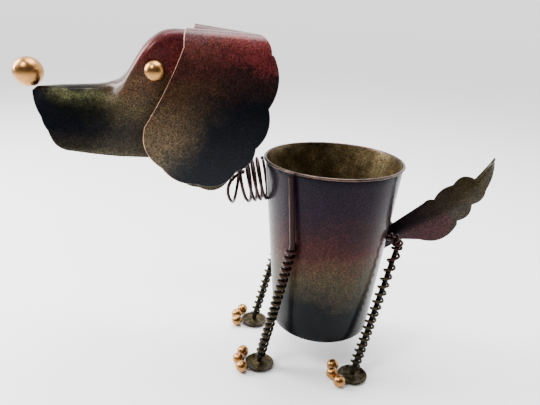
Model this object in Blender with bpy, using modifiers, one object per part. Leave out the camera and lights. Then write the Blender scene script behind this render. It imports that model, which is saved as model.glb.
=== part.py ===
"""Sheet-metal dog: a tapered pot on spring-wrapped legs, with a sprung neck, a folded head and a tail.

The dog looks along -X and its left side faces -Y. Lengths are metres, +Z is up, and the finished
dog is moved so that the middle of its underside is at the origin.
"""
import math

import bmesh
import bpy
from mathutils import Vector

GAP = 0.0003                      # between pieces that touch
MERGE = 0.00005
SHARP_ANGLE = math.radians(40)    # edges sharper than this are shaded sharp
ROUND_WIRE = 2                    # bevel resolution of an eight-sided wire
SQUARE_WIRE = 0                   # and of a four-sided one
CURVE_STEPS = 8                   # short pieces between two points of a smooth curve
FINE_STEPS = 400                  # pieces that a line is cut into to walk along it

# Pot
RIM_RADIUS = 0.0605               # over the rolled bead
BEAD_RADIUS = 0.0013
BASE_RADIUS = 0.0440
POT_HEIGHT = 0.157
POT_WALL = 0.0010
BASE_FOLD = 0.0015                # rounding where the wall turns into the floor
FLOOR_CLEARANCE = 0.033           # underside of the pot above the ground
POT_STEPS = 40
BEAD_CORNERS = 6

# Legs
ROD_RADIUS = 0.00225
LEG_WIRE_RADIUS = 0.0009
LEG_SPRING_SEGMENTS = 6           # straight pieces in each turn
FRONT_WELD_ANGLE = math.radians(52.4)     # from the dog's nose line to the rod on the wall
FRONT_KNEE_ANGLE = math.radians(55.5)
FRONT_ROD_BELOW_RIM = 0.004
FRONT_KNEE_HEIGHT = 0.127
FRONT_SPRING_TURNS = 20
REAR_LEG_ANGLE = math.radians(161.2)
REAR_ROD_HEIGHT = 0.126
REAR_REACH = 0.0100               # how far the rear rod stands out before it turns down
REAR_KNEE_DROP = 0.008
REAR_TIGHT_TURNS = 4
REAR_TIGHT_LENGTH = 0.0150
REAR_OPEN_TURNS = 17
KNEE_ROUNDING = 0.005
ANKLE_RISE = 0.005                # upright end of each rod

# Paws: disc centres (x, y), and the way that the toes point, from -X outwards
FRONT_LEFT_PAW = (-0.0555, -0.0345, math.radians(1))
FRONT_RIGHT_PAW = (-0.0635, 0.0345, math.radians(-11))
REAR_LEFT_PAW = (0.0290, -0.0455, math.radians(10))
REAR_RIGHT_PAW = (0.0290, 0.0455, math.radians(-10))
PAW_RADIUS = 0.0134
PAW_FLAT_RADIUS = 0.0090
PAW_THICKNESS = 0.0012
PAW_RIM_HEIGHT = 0.0030
TOE_RADIUS = 0.0054
TOE_SPREAD = math.radians(35)
TOES = 3
PAW_STEPS = 16
TOE_FACES = (8, 6)                # segments and rings of a ball

# Neck spring
NECK_BELOW_RIM = 0.0225
NECK_RADIUS = 0.0180              # to the middle of the wire
NECK_WIRE_RADIUS = 0.0012
NECK_SEGMENTS = 12
NECK_ROUTE = [(0.0002, 0.0015), (0.0094, -0.0004), (0.0185, -0.0018), (0.0250, -0.0010), (0.0300, 0.0010),
              (0.0350, 0.0060), (0.0375, 0.0150), (0.0385, 0.0280)]   # forwards and upwards from the pot's wall
NECK_START = -0.25                # turns: the coil starts at its top, under the rim
NECK_CLOSE_TURNS = 3.5
NECK_CLOSE_LENGTH = 0.0165
NECK_OPEN_TURNS = 4.0

# Head sheet: (x, z) from the front of the rim
SHEET = 0.0008
RIDGE = [(-0.1885, 0.0488), (-0.1695, 0.0510), (-0.1535, 0.0522), (-0.1365, 0.0536), (-0.1265, 0.0560),
         (-0.1182, 0.0600), (-0.1087, 0.0699), (-0.1001, 0.0835), (-0.0942, 0.0906), (-0.0861, 0.0963),
         (-0.0797, 0.0984), (-0.0705, 0.0990), (-0.0575, 0.0980), (-0.0175, 0.0945)]
RIDGE_FRONT = 3                   # this point of the ridge is above the chin
# Lower edge: (x, z, half width, swell of the edge on the way to the next point)
LIP = [(-0.1921, 0.0454, 0.0030, 0.0016), (-0.1843, 0.0247, 0.0090, 0.0009),
       (-0.1784, 0.0140, 0.0120, 0.0006), (-0.1727, 0.0037, 0.0140, 0.0)]
JAW = [(-0.1727, 0.0037, 0.0140, 0.0015), (-0.1587, -0.0012, 0.0150, 0.0004),
       (-0.1177, -0.0027, 0.0190, 0.0), (-0.0947, -0.0015, 0.0220, 0.0),
       (-0.0400, 0.0010, 0.0240, 0.0)]
MUZZLE_FOLD = 0.0085              # rounding of the fold along the top
CROWN_FOLD = 0.0115
LIP_COLUMNS = 8
JAW_COLUMNS = 13
FOLD_ROWS = 4
FLANK_ROWS = 2

# Balls on the head
NOSE_RADIUS = 0.0122
NOSE_LIFT = math.radians(60)      # way from the muzzle's tip to the ball's middle, above -X
EYE_RADIUS = 0.0084
EYE_PLACE = (-0.0858, 0.0682)     # from the front of the rim
NOSE_FACES = (16, 10)
EYE_FACES = (12, 8)

# Ears: (x, z, swell) from the front of the rim, from the front of the fold round to the back
EAR_FRONT_TOP = (-0.0642, 0.1000)
EAR_BACK_TOP = (-0.0085, 0.0980)
EAR_EDGE = [(-0.0640, 0.0860, -0.0018), (-0.0946, 0.0243, 0.0065), (-0.0816, -0.0089, 0.0042),
            (-0.0546, -0.0212, 0.0072), (-0.0209, -0.0082, 0.0040), (-0.0058, 0.0113, 0.0048),
            (0.0032, 0.0432, 0.0066), (0.0036, 0.0860, 0.0)]
EAR_FOLD = 0.0140                 # rounding over the crown
EAR_HALF_WIDTH = 0.0200           # where the fold ends
EAR_FLARE = 0.0160
EAR_TUCK = 0.0100
EAR_DEPTH = 0.1100                # height over which the ear flares and tucks in
EAR_MIDDLE = (-0.0450, 0.0400)
EAR_MEETING = 0.0024              # between the two ears, over the head's fold
EAR_EDGE_STEPS = 5
EAR_RINGS = 4
EAR_FOLD_ROWS = 4
EAR_FOLD_COLUMNS = 6
RIGHT_EAR_TURN = math.radians(3.4)        # the right ear hangs a little lower at the back
RIGHT_EAR_RISE = 0.0032
RIGHT_EAR_SHIFT = 0.0045
RIGHT_EAR_STRETCH = (0.90, 1.19)  # and was cut narrower and longer than the left one

# Tail: (x, z, swell) from the wall of the pot at the tail's middle height
TAIL_HEIGHT = 0.1175
TAIL_BASE = 0.0230
TAIL_LOWER = [(0.0165, 0.0003, 0.0), (0.0318, 0.0007, 0.0077), (0.0635, 0.0170, 0.0), (0.0629, 0.0206, 0.0042),
              (0.0731, 0.0366, 0.0033), (0.0829, 0.0505, 0.0026), (0.0844, 0.0805, 0.0)]
TAIL_UPPER = [(0.0309, 0.0360, -0.0015), (0.0391, 0.0393, -0.0028), (0.0535, 0.0537, -0.0050),
              (0.0713, 0.0603, 0.0003), (0.0844, 0.0805, 0.0)]
TAIL_CREASE = [(0.0312, 0.0160), (0.0486, 0.0260), (0.0610, 0.0400), (0.0710, 0.0515), (0.0800, 0.0690)]
TAIL_CREASE_RISE = 0.0030
TAIL_COLUMNS = 24
TAIL_EDGE_STEPS = 6

POT_TOP = FLOOR_CLEARANCE + POT_HEIGHT
WALL_TOP_RADIUS = RIM_RADIUS - 2 * BEAD_RADIUS + POT_WALL

def clear_scene():
    for old in list(bpy.data.objects):
        bpy.data.objects.remove(old)


def new_collection(name):
    collection = bpy.data.collections.new(name)
    bpy.context.scene.collection.children.link(collection)
    return collection


def finish(name, colour, metallic, roughness):
    """A plain metal finish for one kind of piece."""
    material = bpy.data.materials.new(name)
    material.use_nodes = True
    shader = material.node_tree.nodes["Principled BSDF"]
    shader.inputs["Base Color"].default_value = (*colour, 1.0)
    shader.inputs["Metallic"].default_value = metallic
    shader.inputs["Roughness"].default_value = roughness
    material.diffuse_color = (*colour, 1.0)
    return material


clear_scene()
DOG = new_collection("sheet_metal_dog")
ROOT = bpy.data.objects.new("dog_middle", None)
DOG.objects.link(ROOT)


def place(name, data, material):
    piece = bpy.data.objects.new(name, data)
    data.materials.append(material)
    DOG.objects.link(piece)
    piece.parent = ROOT
    return piece


def mesh_piece(name, shape, material):
    """Turn a bmesh into a smooth-shaded object."""
    mesh = bpy.data.meshes.new(name)
    shape.to_mesh(mesh)
    shape.free()
    piece = place(name, mesh, material)
    mesh.shade_smooth()
    mesh.set_sharp_from_angle(angle=SHARP_ANGLE)
    return piece


def turned(name, profile, steps, material):
    """Turn a profile of (radius, height) points about the upright axis."""
    shape = bmesh.new()
    corners = [shape.verts.new((radius, 0, height)) for radius, height in profile]
    for start, end in zip(corners, corners[1:]):
        shape.edges.new((start, end))
    piece = mesh_piece(name, shape, material)
    screw = piece.modifiers.new("turn", "SCREW")
    screw.steps = steps
    screw.render_steps = steps
    screw.use_merge_vertices = True
    screw.merge_threshold = MERGE
    return piece


def wire(name, points, radius, resolution, material):
    """A wire with closed ends along a list of points."""
    curve = bpy.data.curves.new(name, "CURVE")
    curve.dimensions = "3D"
    curve.bevel_depth = radius
    curve.bevel_resolution = resolution
    curve.use_fill_caps = True
    spline = curve.splines.new("POLY")
    spline.points.add(len(points) - 1)
    for slot, point in zip(spline.points, points):
        slot.co = (*point, 1.0)
    return place(name, curve, material)


def ball(name, centre, radius, faces, material):
    shape = bmesh.new()
    bmesh.ops.create_uvsphere(shape, u_segments=faces[0], v_segments=faces[1], radius=radius)
    piece = mesh_piece(name, shape, material)
    piece.location = centre
    return piece


def thicken(piece, thickness):
    """Give a sheet its thickness on the side that its faces turn away from."""
    solid = piece.modifiers.new("thickness", "SOLIDIFY")
    solid.thickness = thickness
    solid.offset = -1
    return piece


def swell_arc(start, end, swell, steps):
    """Points from start up to, but not at, end, on an arc that swells to the right of the way."""
    way = end - start
    side = Vector((way.y, -way.x)).normalized()
    points = []
    for step in range(steps):
        share = step / steps
        points.append(start + way * share + side * swell * 4 * share * (1 - share))
    return points


def cut_edge(corners, steps):
    """A scalloped edge through corners of (x, z, swell), with its last corner."""
    points = []
    for here, there in zip(corners, corners[1:]):
        points += swell_arc(Vector(here[:2]), Vector(there[:2]), here[2], steps)
    points.append(Vector(corners[-1][:2]))
    return points


def spread(points, count):
    """Points at even spacing along a broken line."""
    lengths = [0.0]
    for here, there in zip(points, points[1:]):
        lengths.append(lengths[-1] + (there - here).length)
    evenly = []
    span = 0
    for number in range(count):
        goal = lengths[-1] * number / (count - 1)
        while span < len(points) - 2 and lengths[span + 1] < goal:
            span += 1
        share = (goal - lengths[span]) / (lengths[span + 1] - lengths[span])
        evenly.append(points[span].lerp(points[span + 1], share))
    return evenly


def smooth_line(points):
    """A smooth curve through points."""
    ends = [points[0] * 2 - points[1], *points, points[-1] * 2 - points[-2]]
    line = []
    for before, start, end, after in zip(ends, ends[1:], ends[2:], ends[3:]):
        for step in range(CURVE_STEPS):
            share = step / CURVE_STEPS
            line.append(0.5 * (2 * start + (end - before) * share
                               + (2 * before - 5 * start + 4 * end - after) * share ** 2
                               + (3 * start - before - 3 * end + after) * share ** 3))
    line.append(points[-1].copy())
    return line


def rounded(corners, rounding, steps=4):
    """A broken line with its inner corners rounded."""
    line = [corners[0]]
    for before, corner, after in zip(corners, corners[1:], corners[2:]):
        start = corner + (before - corner).normalized() * rounding
        end = corner + (after - corner).normalized() * rounding
        for step in range(steps + 1):
            share = step / steps
            line.append(start.lerp(corner, share).lerp(corner.lerp(end, share), share))
    line.append(corners[-1])
    return line


def carried_frames(points):
    """Each point with two directions square to the line, carried along it without twisting."""
    across = Vector((0, 1, 0))
    frames = []
    for number, point in enumerate(points):
        before = points[max(number - 1, 0)]
        after = points[min(number + 1, len(points) - 1)]
        along = (after - before).normalized()
        across = (across - along * across.dot(along)).normalized()
        frames.append((point, across, along.cross(across)))
    return frames


def round_point(frame, radius, turns):
    """The point of a coil at a frame of its line."""
    middle, across, up = frame
    angle = 2 * math.pi * turns
    return middle + radius * (math.cos(angle) * across + math.sin(angle) * up)


def coil(line, radius, first_turn, stretches, segments):
    """Points of a coil round a line; stretches are (share of the line, turns)."""
    frames = carried_frames(spread(line, FINE_STEPS + 1))
    points = []
    done_share = 0.0
    done_turns = first_turn
    for share, turns in stretches:
        count = round(turns * segments)
        for number in range(count):
            part = number / count
            frame = frames[round((done_share + share * part) * FINE_STEPS)]
            points.append(round_point(frame, radius, done_turns + turns * part))
        done_share += share
        done_turns += turns
    points.append(round_point(frames[-1], radius, done_turns))
    return points


def wall_radius(height):
    """Outer radius of the pot's wall at a height above the ground."""
    share = (height - FLOOR_CLEARANCE) / POT_HEIGHT
    return BASE_RADIUS + (WALL_TOP_RADIUS - BASE_RADIUS) * share


def make_pot(material):
    bead_middle = WALL_TOP_RADIUS - POT_WALL + BEAD_RADIUS
    bead_height = POT_TOP - BEAD_RADIUS
    floor = FLOOR_CLEARANCE
    profile = [(0, floor + POT_WALL), (BASE_RADIUS - POT_WALL - BASE_FOLD, floor + POT_WALL),
               (wall_radius(floor + POT_WALL + BASE_FOLD) - POT_WALL, floor + POT_WALL + BASE_FOLD)]
    for corner in range(BEAD_CORNERS):
        turn = math.pi - 2 * math.pi * corner / BEAD_CORNERS
        profile.append((bead_middle + BEAD_RADIUS * math.cos(turn), bead_height + BEAD_RADIUS * math.sin(turn)))
    seam = bead_height - 2 * BEAD_RADIUS
    profile += [(wall_radius(seam), seam), (wall_radius(floor + BASE_FOLD), floor + BASE_FOLD),
                (BASE_RADIUS - BASE_FOLD, floor), (0, floor)]
    return turned("pot", profile, POT_STEPS, material)


def leg_side(side):
    return "left" if side < 0 else "right"


def on_wall(angle, side, radius, height):
    """A point at an angle from the nose line, on one side of the dog."""
    return Vector((-radius * math.cos(angle), side * radius * math.sin(angle), height))


def front_leg_line(side, paw):
    """The front rod is welded on under the rim, and its knee leaves room for the spring."""
    top = POT_TOP - FRONT_ROD_BELOW_RIM
    weld = wall_radius(top) + ROD_RADIUS + 2 * GAP
    knee = wall_radius(FRONT_KNEE_HEIGHT) + spring_radius() + LEG_WIRE_RADIUS + GAP
    return leg_line([on_wall(FRONT_WELD_ANGLE, side, weld, top),
                     on_wall(FRONT_KNEE_ANGLE, side, knee, FRONT_KNEE_HEIGHT)], paw)


def rear_leg_line(side, paw):
    """The rear rod stands out of the wall and turns down at once."""
    wall = wall_radius(REAR_ROD_HEIGHT)
    radius = wall + REAR_REACH
    return leg_line([on_wall(REAR_LEG_ANGLE, side, wall + 2 * GAP, REAR_ROD_HEIGHT),
                     on_wall(REAR_LEG_ANGLE, side, radius, REAR_ROD_HEIGHT),
                     on_wall(REAR_LEG_ANGLE, side, radius, REAR_ROD_HEIGHT - REAR_KNEE_DROP)], paw)


def leg_line(upper, paw):
    """The middle of a rod, from its weld down to the middle of its paw."""
    foot = Vector((paw[0], paw[1], PAW_THICKNESS + GAP))
    ankle = foot + Vector((0, 0, ANKLE_RISE))
    rounding = min(KNEE_ROUNDING, 0.45 * REAR_KNEE_DROP)
    return rounded([*upper, ankle, foot], rounding)


def spring_radius():
    """Middle of the wire, so that its straight pieces clear the rod inside."""
    return (ROD_RADIUS + GAP + LEG_WIRE_RADIUS) / math.cos(math.pi / LEG_SPRING_SEGMENTS)


def part_of(line, start, end):
    """The part of a line between two shares of its length."""
    fine = spread(line, FINE_STEPS + 1)
    return fine[round(start * FINE_STEPS):round(end * FINE_STEPS) + 1]


def line_length(line):
    return sum((there - here).length for here, there in zip(line, line[1:]))


def make_leg(place_name, line, spring_line, stretches, rod_finish, spring_finish):
    wire("leg_rod_" + place_name, line, ROD_RADIUS, ROUND_WIRE, rod_finish)
    points = coil(spring_line, spring_radius(), 0.0, stretches, LEG_SPRING_SEGMENTS)
    wire("leg_spring_" + place_name, points, LEG_WIRE_RADIUS, SQUARE_WIRE, spring_finish)


def make_front_leg(side, paw, rod_finish, spring_finish):
    line = front_leg_line(side, paw)
    length = line_length(line)
    straight = (line[1] - line[0]).length + KNEE_ROUNDING
    end = 1 - (ANKLE_RISE + 2 * LEG_WIRE_RADIUS) / length
    spring_line = part_of(line, straight / length, end)
    make_leg("front_" + leg_side(side), line, spring_line, [(1.0, FRONT_SPRING_TURNS)], rod_finish, spring_finish)


def make_rear_leg(side, paw, rod_finish, spring_finish):
    line = rear_leg_line(side, paw)
    length = line_length(line)
    start = 3 * LEG_WIRE_RADIUS / length
    end = 1 - (ANKLE_RISE + 2 * LEG_WIRE_RADIUS) / length
    spring_line = part_of(line, start, end)
    tight = REAR_TIGHT_LENGTH / line_length(spring_line)
    stretches = [(tight, REAR_TIGHT_TURNS), (1 - tight, REAR_OPEN_TURNS)]
    make_leg("rear_" + leg_side(side), line, spring_line, stretches, rod_finish, spring_finish)


def make_paw(place_name, paw, disc_finish, ball_finish):
    """A dished disc that lies on the ground, with toe balls along its front edge."""
    edge = PAW_RIM_HEIGHT
    profile = [(0, PAW_THICKNESS), (PAW_FLAT_RADIUS, PAW_THICKNESS), (PAW_RADIUS - PAW_THICKNESS, edge),
               (PAW_RADIUS, edge), (PAW_FLAT_RADIUS, 0), (0, 0)]
    disc = turned("paw_disc_" + place_name, profile, PAW_STEPS, disc_finish)
    disc.location = (paw[0], paw[1], 0)
    reach = PAW_RADIUS + TOE_RADIUS + GAP
    for number in range(TOES):
        turn = paw[2] + (number - (TOES - 1) / 2) * TOE_SPREAD
        centre = (paw[0] - reach * math.cos(turn), paw[1] - reach * math.sin(turn), TOE_RADIUS)
        ball("toe_ball_%s_%d" % (place_name, number + 1), centre, TOE_RADIUS, TOE_FACES, ball_finish)


def neck_line():
    height = POT_TOP - NECK_BELOW_RIM
    wall = wall_radius(height)
    start = wall + NECK_WIRE_RADIUS + GAP
    points = [Vector((-(start + ahead), 0, height + up)) for ahead, up in NECK_ROUTE]
    return smooth_line(points)


def make_neck(material):
    """A coil from the pot's wall into the hollow head, and a straight end up to the fold."""
    line = neck_line()
    close = NECK_CLOSE_LENGTH / line_length(line)
    stretches = [(close, NECK_CLOSE_TURNS), (1 - close, NECK_OPEN_TURNS)]
    points = coil(line, NECK_RADIUS, NECK_START, stretches, NECK_SEGMENTS)
    last = points[-1]
    under_fold = ridge_height(last.x) - SHEET - GAP - NECK_WIRE_RADIUS
    points.append(Vector((last.x, last.y, last.z + NECK_RADIUS / 2)))
    points.append(Vector((last.x, 0, under_fold)))
    return wire("neck_spring", points, NECK_WIRE_RADIUS, SQUARE_WIRE, material)


def from_rim(x, z):
    """Side-view place of a point given from the front of the rim."""
    return Vector((x - RIM_RADIUS, z + POT_TOP))


def ridge_line():
    return smooth_line([from_rim(x, z) for x, z in RIDGE])


def ridge_height(x):
    """Height of the head's fold above the ground at a place along the dog."""
    line = ridge_line()
    for here, there in zip(line, line[1:]):
        if here.x <= x <= there.x:
            return here.lerp(there, (x - here.x) / (there.x - here.x)).y
    return line[-1].y


def lower_edge(corners, count):
    """Side view and half width of the sheet's lower edge, evenly spread."""
    points = []
    for here, there in zip(corners, corners[1:]):
        start = from_rim(*here[:2])
        arc = swell_arc(start, from_rim(*there[:2]), here[3], CURVE_STEPS)
        for step, point in enumerate(arc):
            width = here[2] + (there[2] - here[2]) * step / CURVE_STEPS
            points.append(Vector((point.x, width, point.y)))
    end = corners[-1]
    last = from_rim(*end[:2])
    points.append(Vector((last.x, end[2], last.y)))
    return spread(points, count)


def fold_section(drop, width, fold):
    """Rounded fold and straight flank: (down, out) points from the ridge to the lower edge."""
    fold = min(fold, 0.35 * (drop ** 2 + width ** 2) / drop)
    to_edge = math.hypot(drop - fold, width)
    end_turn = math.pi - math.atan2(width, drop - fold) - math.acos(fold / to_edge)
    section = []
    for row in range(FOLD_ROWS + 1):
        turn = end_turn * row / FOLD_ROWS
        section.append((fold - fold * math.cos(turn), fold * math.sin(turn)))
    start = section[-1]
    for row in range(1, FLANK_ROWS + 1):
        share = row / FLANK_ROWS
        section.append((start[0] + (drop - start[0]) * share, start[1] + (width - start[1]) * share))
    return section


def head_columns():
    """Pairs of a point on the ridge and its point on the lower edge, from the muzzle back."""
    ridge = ridge_line()
    above_chin = RIDGE_FRONT * CURVE_STEPS
    tops = spread(ridge[:above_chin + 1], LIP_COLUMNS)
    tops += spread(ridge[above_chin:], JAW_COLUMNS)[1:]
    edges = lower_edge(LIP, LIP_COLUMNS) + lower_edge(JAW, JAW_COLUMNS)[1:]
    return list(zip(tops, edges))


def head_column(top, edge, side):
    """Points of one side of the sheet below one point of the ridge."""
    share = (top.x - from_rim(*RIDGE[0]).x) / (from_rim(*RIDGE[-1]).x - from_rim(*RIDGE[0]).x)
    fold = MUZZLE_FOLD + (CROWN_FOLD - MUZZLE_FOLD) * share
    drop = top.y - edge.z
    points = []
    for down, out in fold_section(drop, edge.y, fold):
        lean = (edge.x - top.x) * down / drop
        points.append(Vector((top.x + lean, side * out, top.y - down)))
    return points


def make_head(material):
    """One sheet folded over its ridge, open below, in front and behind."""
    shape = bmesh.new()
    rows = []
    for top, edge in head_columns():
        left = head_column(top, edge, -1)
        right = head_column(top, edge, 1)
        rows.append([shape.verts.new(point) for point in left[:0:-1] + right])
    for here, there in zip(rows, rows[1:]):
        for one, two, three, four in zip(here, here[1:], there[1:], there):
            shape.faces.new((one, two, three, four))
    bmesh.ops.recalc_face_normals(shape, faces=shape.faces)
    turn_faces(shape, Vector((0, 0, 1)))
    piece = mesh_piece("head", shape, material)
    return thicken(piece, SHEET)


def turn_faces(shape, way):
    """Turn an open sheet so that its faces look a given way on the whole."""
    total = Vector()
    for face in shape.faces:
        total += face.normal * face.calc_area()
    if total.dot(way) < 0:
        bmesh.ops.reverse_faces(shape, faces=shape.faces)


def flank_place(x, z, side):
    """The place on the head's outer side at a side-view place, and the way that it faces."""
    fine = 8
    sides = [head_column(top, edge, side) for top, edge in head_columns()]
    best = None
    for here, there in zip(sides, sides[1:]):
        for row in range(len(here) - 1):
            for step in range(fine * fine):
                along = (step // fine) / fine
                down = (step % fine) / fine
                upper = here[row].lerp(there[row], along)
                lower = here[row + 1].lerp(there[row + 1], along)
                point = upper.lerp(lower, down)
                gap = math.hypot(point.x - x, point.z - z)
                if best is None or gap < best[0]:
                    best = (gap, point, (there[row] - here[row]).cross(lower - upper).normalized())
    facing = best[2] if best[2].y * side > 0 else -best[2]
    return best[1], facing


def make_balls(material):
    tip = from_rim(*RIDGE[0])
    reach = NOSE_RADIUS + 2 * GAP
    ball("nose_ball", (tip.x - reach * math.cos(NOSE_LIFT), 0, tip.y + reach * math.sin(NOSE_LIFT)),
         NOSE_RADIUS, NOSE_FACES, material)
    eye = from_rim(*EYE_PLACE)
    for side in (-1, 1):
        point, facing = flank_place(eye.x, eye.y, side)
        ball("eye_" + leg_side(side), point + facing * (EYE_RADIUS + GAP), EYE_RADIUS, EYE_FACES, material)


def ear_out(depth):
    """Distance from the dog's middle at a depth below the ear's top line."""
    if depth < EAR_FOLD:
        return EAR_HALF_WIDTH - EAR_FOLD + math.sqrt(EAR_FOLD ** 2 - (EAR_FOLD - depth) ** 2)
    share = min((depth - EAR_FOLD) / EAR_DEPTH, 1.1)
    return EAR_HALF_WIDTH + EAR_FLARE * share - EAR_TUCK * share ** 3


def ear_top(x):
    """Height of the ear's top line, from the rim, at a distance from the front of the rim."""
    share = (x - EAR_FRONT_TOP[0]) / (EAR_BACK_TOP[0] - EAR_FRONT_TOP[0])
    return EAR_FRONT_TOP[1] + (EAR_BACK_TOP[1] - EAR_FRONT_TOP[1]) * share


def ear_point(x, z, side):
    """Place on the bent ear of a side-view point given from the rim."""
    flat = from_rim(x, z)
    return Vector((flat.x, side * ear_out(max(ear_top(x) - z, 0.0)), flat.y))


def ear_edges():
    """Front and back ends of the rows over the fold, given as fractions of a quarter turn."""
    front_low = EAR_EDGE[0]
    back_low = EAR_EDGE[-1]
    rows = []
    for row in range(EAR_FOLD_ROWS + 1):
        turn = math.pi / 2 * row / EAR_FOLD_ROWS
        fall = 1 - math.cos(turn)
        front = EAR_FRONT_TOP[0] + (front_low[0] - EAR_FRONT_TOP[0]) * fall
        back = EAR_BACK_TOP[0] + (back_low[0] - EAR_BACK_TOP[0]) * math.sin(turn)
        rows.append((front, back, EAR_FOLD * fall))
    return rows


def make_ear(side, stretch, turn, move, material):
    """A bent sheet: a scalloped flank, a fold over the crown and a short flat at the middle."""
    shape = bmesh.new()
    rim = cut_edge(EAR_EDGE, EAR_EDGE_STEPS)
    top_low = []
    for step in range(1, EAR_FOLD_COLUMNS):
        x = rim[-1].x + (rim[0].x - rim[-1].x) * step / EAR_FOLD_COLUMNS
        top_low.append(Vector((x, ear_top(x) - EAR_FOLD)))
    outline = rim + top_low
    outline[0].y = ear_top(outline[0].x) - EAR_FOLD
    outline[len(rim) - 1].y = ear_top(rim[-1].x) - EAR_FOLD
    middle = Vector(EAR_MIDDLE)
    centre = shape.verts.new(ear_point(*middle, side))
    rings = []
    for ring in range(1, EAR_RINGS + 1):
        rings.append([shape.verts.new(ear_point(*middle.lerp(point, ring / EAR_RINGS), side)) for point in outline])
    count = len(outline)
    for number in range(count):
        after = (number + 1) % count
        shape.faces.new((centre, rings[0][number], rings[0][after]))
        for inner, outer in zip(rings, rings[1:]):
            shape.faces.new((inner[number], outer[number], outer[after], inner[after]))
    seam = [rings[-1][0], *rings[-1][:len(rim) - 2:-1]]
    add_fold(shape, seam, side)
    hang_ear(shape, stretch, turn, move)
    bmesh.ops.recalc_face_normals(shape, faces=shape.faces)
    turn_faces(shape, Vector((0, side, 0)))
    piece = mesh_piece("ear_" + leg_side(side), shape, material)
    return thicken(piece, SHEET)


def add_fold(shape, seam, side):
    """Rows from the flank's top seam over the crown, then flat to near the middle."""
    rows = [seam]
    for front, back, depth in ear_edges()[-2::-1]:
        row = []
        for step in range(EAR_FOLD_COLUMNS + 1):
            x = front + (back - front) * step / EAR_FOLD_COLUMNS
            row.append(shape.verts.new(ear_point(x, ear_top(x) - depth, side)))
        rows.append(row)
    flat = []
    for corner in rows[-1]:
        flat.append(shape.verts.new((corner.co.x, side * EAR_MEETING / 2, corner.co.z)))
    rows.append(flat)
    for here, there in zip(rows, rows[1:]):
        for one, two, three, four in zip(here, here[1:], there[1:], there):
            shape.faces.new((one, two, three, four))


def hang_ear(shape, stretch, turn, move):
    """Stretch and tilt a whole ear about its front top corner, then move it back and up."""
    corner = from_rim(*EAR_FRONT_TOP)
    for vertex in shape.verts:
        ahead = (vertex.co.x - corner.x) * stretch[0]
        up = (vertex.co.z - corner.y) * stretch[1]
        vertex.co.x = corner.x + ahead * math.cos(turn) + up * math.sin(turn) + move[0]
        vertex.co.z = corner.y - ahead * math.sin(turn) + up * math.cos(turn) + move[1]


def tail_point(x, z):
    return Vector((x + wall_radius(TAIL_HEIGHT), z + TAIL_HEIGHT))


def tail_edge(corners, height):
    """One edge of the tail, from the pot's wall to the tip."""
    points = [Vector((wall_radius(height) + GAP, height))]
    for here, there in zip(corners, corners[1:]):
        points += swell_arc(tail_point(*here[:2]), tail_point(*there[:2]), here[2], TAIL_EDGE_STEPS)
    points.append(tail_point(*corners[-1][:2]))
    return spread(points, TAIL_COLUMNS)


def make_tail(material):
    """A scalloped sheet with a raised crease along its middle."""
    low = TAIL_HEIGHT - TAIL_BASE / 2
    high = TAIL_HEIGHT + TAIL_BASE / 2
    lower = tail_edge(TAIL_LOWER, low)
    upper = tail_edge(TAIL_UPPER, high)
    start = (lower[0] + upper[0]) / 2
    inner = [tail_point(x, z) for x, z in TAIL_CREASE]
    crease = spread(smooth_line([start, *inner, lower[-1]]), TAIL_COLUMNS)
    shape = bmesh.new()
    rows = []
    for below, middle, over in zip(lower[:-1], crease[:-1], upper[:-1]):
        across = [below, below.lerp(middle, 0.5), middle, middle.lerp(over, 0.5), over]
        rise = [0, -0.5, -1, -0.5, 0]
        rows.append([shape.verts.new((p.x, lift * TAIL_CREASE_RISE, p.y)) for p, lift in zip(across, rise)])
    tip = shape.verts.new((lower[-1].x, 0, lower[-1].y))
    for here, there in zip(rows, rows[1:]):
        for one, two, three, four in zip(here, here[1:], there[1:], there):
            shape.faces.new((one, two, three, four))
    for one, two in zip(rows[-1], rows[-1][1:]):
        shape.faces.new((one, two, tip))
    bmesh.ops.recalc_face_normals(shape, faces=shape.faces)
    turn_faces(shape, Vector((0, -1, 0)))
    piece = mesh_piece("tail", shape, material)
    return thicken(piece, SHEET)


def centre_on_ground():
    """Move the dog so that the middle of its box stands at the origin."""
    bpy.context.view_layer.update()
    depsgraph = bpy.context.evaluated_depsgraph_get()
    corners = []
    for piece in DOG.objects:
        if piece.type != "EMPTY":
            final = piece.evaluated_get(depsgraph)
            corners += [final.matrix_world @ vertex.co for vertex in final.to_mesh().vertices]
            final.to_mesh_clear()
    for axis in (0, 1):
        lowest = min(corner[axis] for corner in corners)
        highest = max(corner[axis] for corner in corners)
        ROOT.location[axis] = -(lowest + highest) / 2
    bpy.context.view_layer.update()


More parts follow.
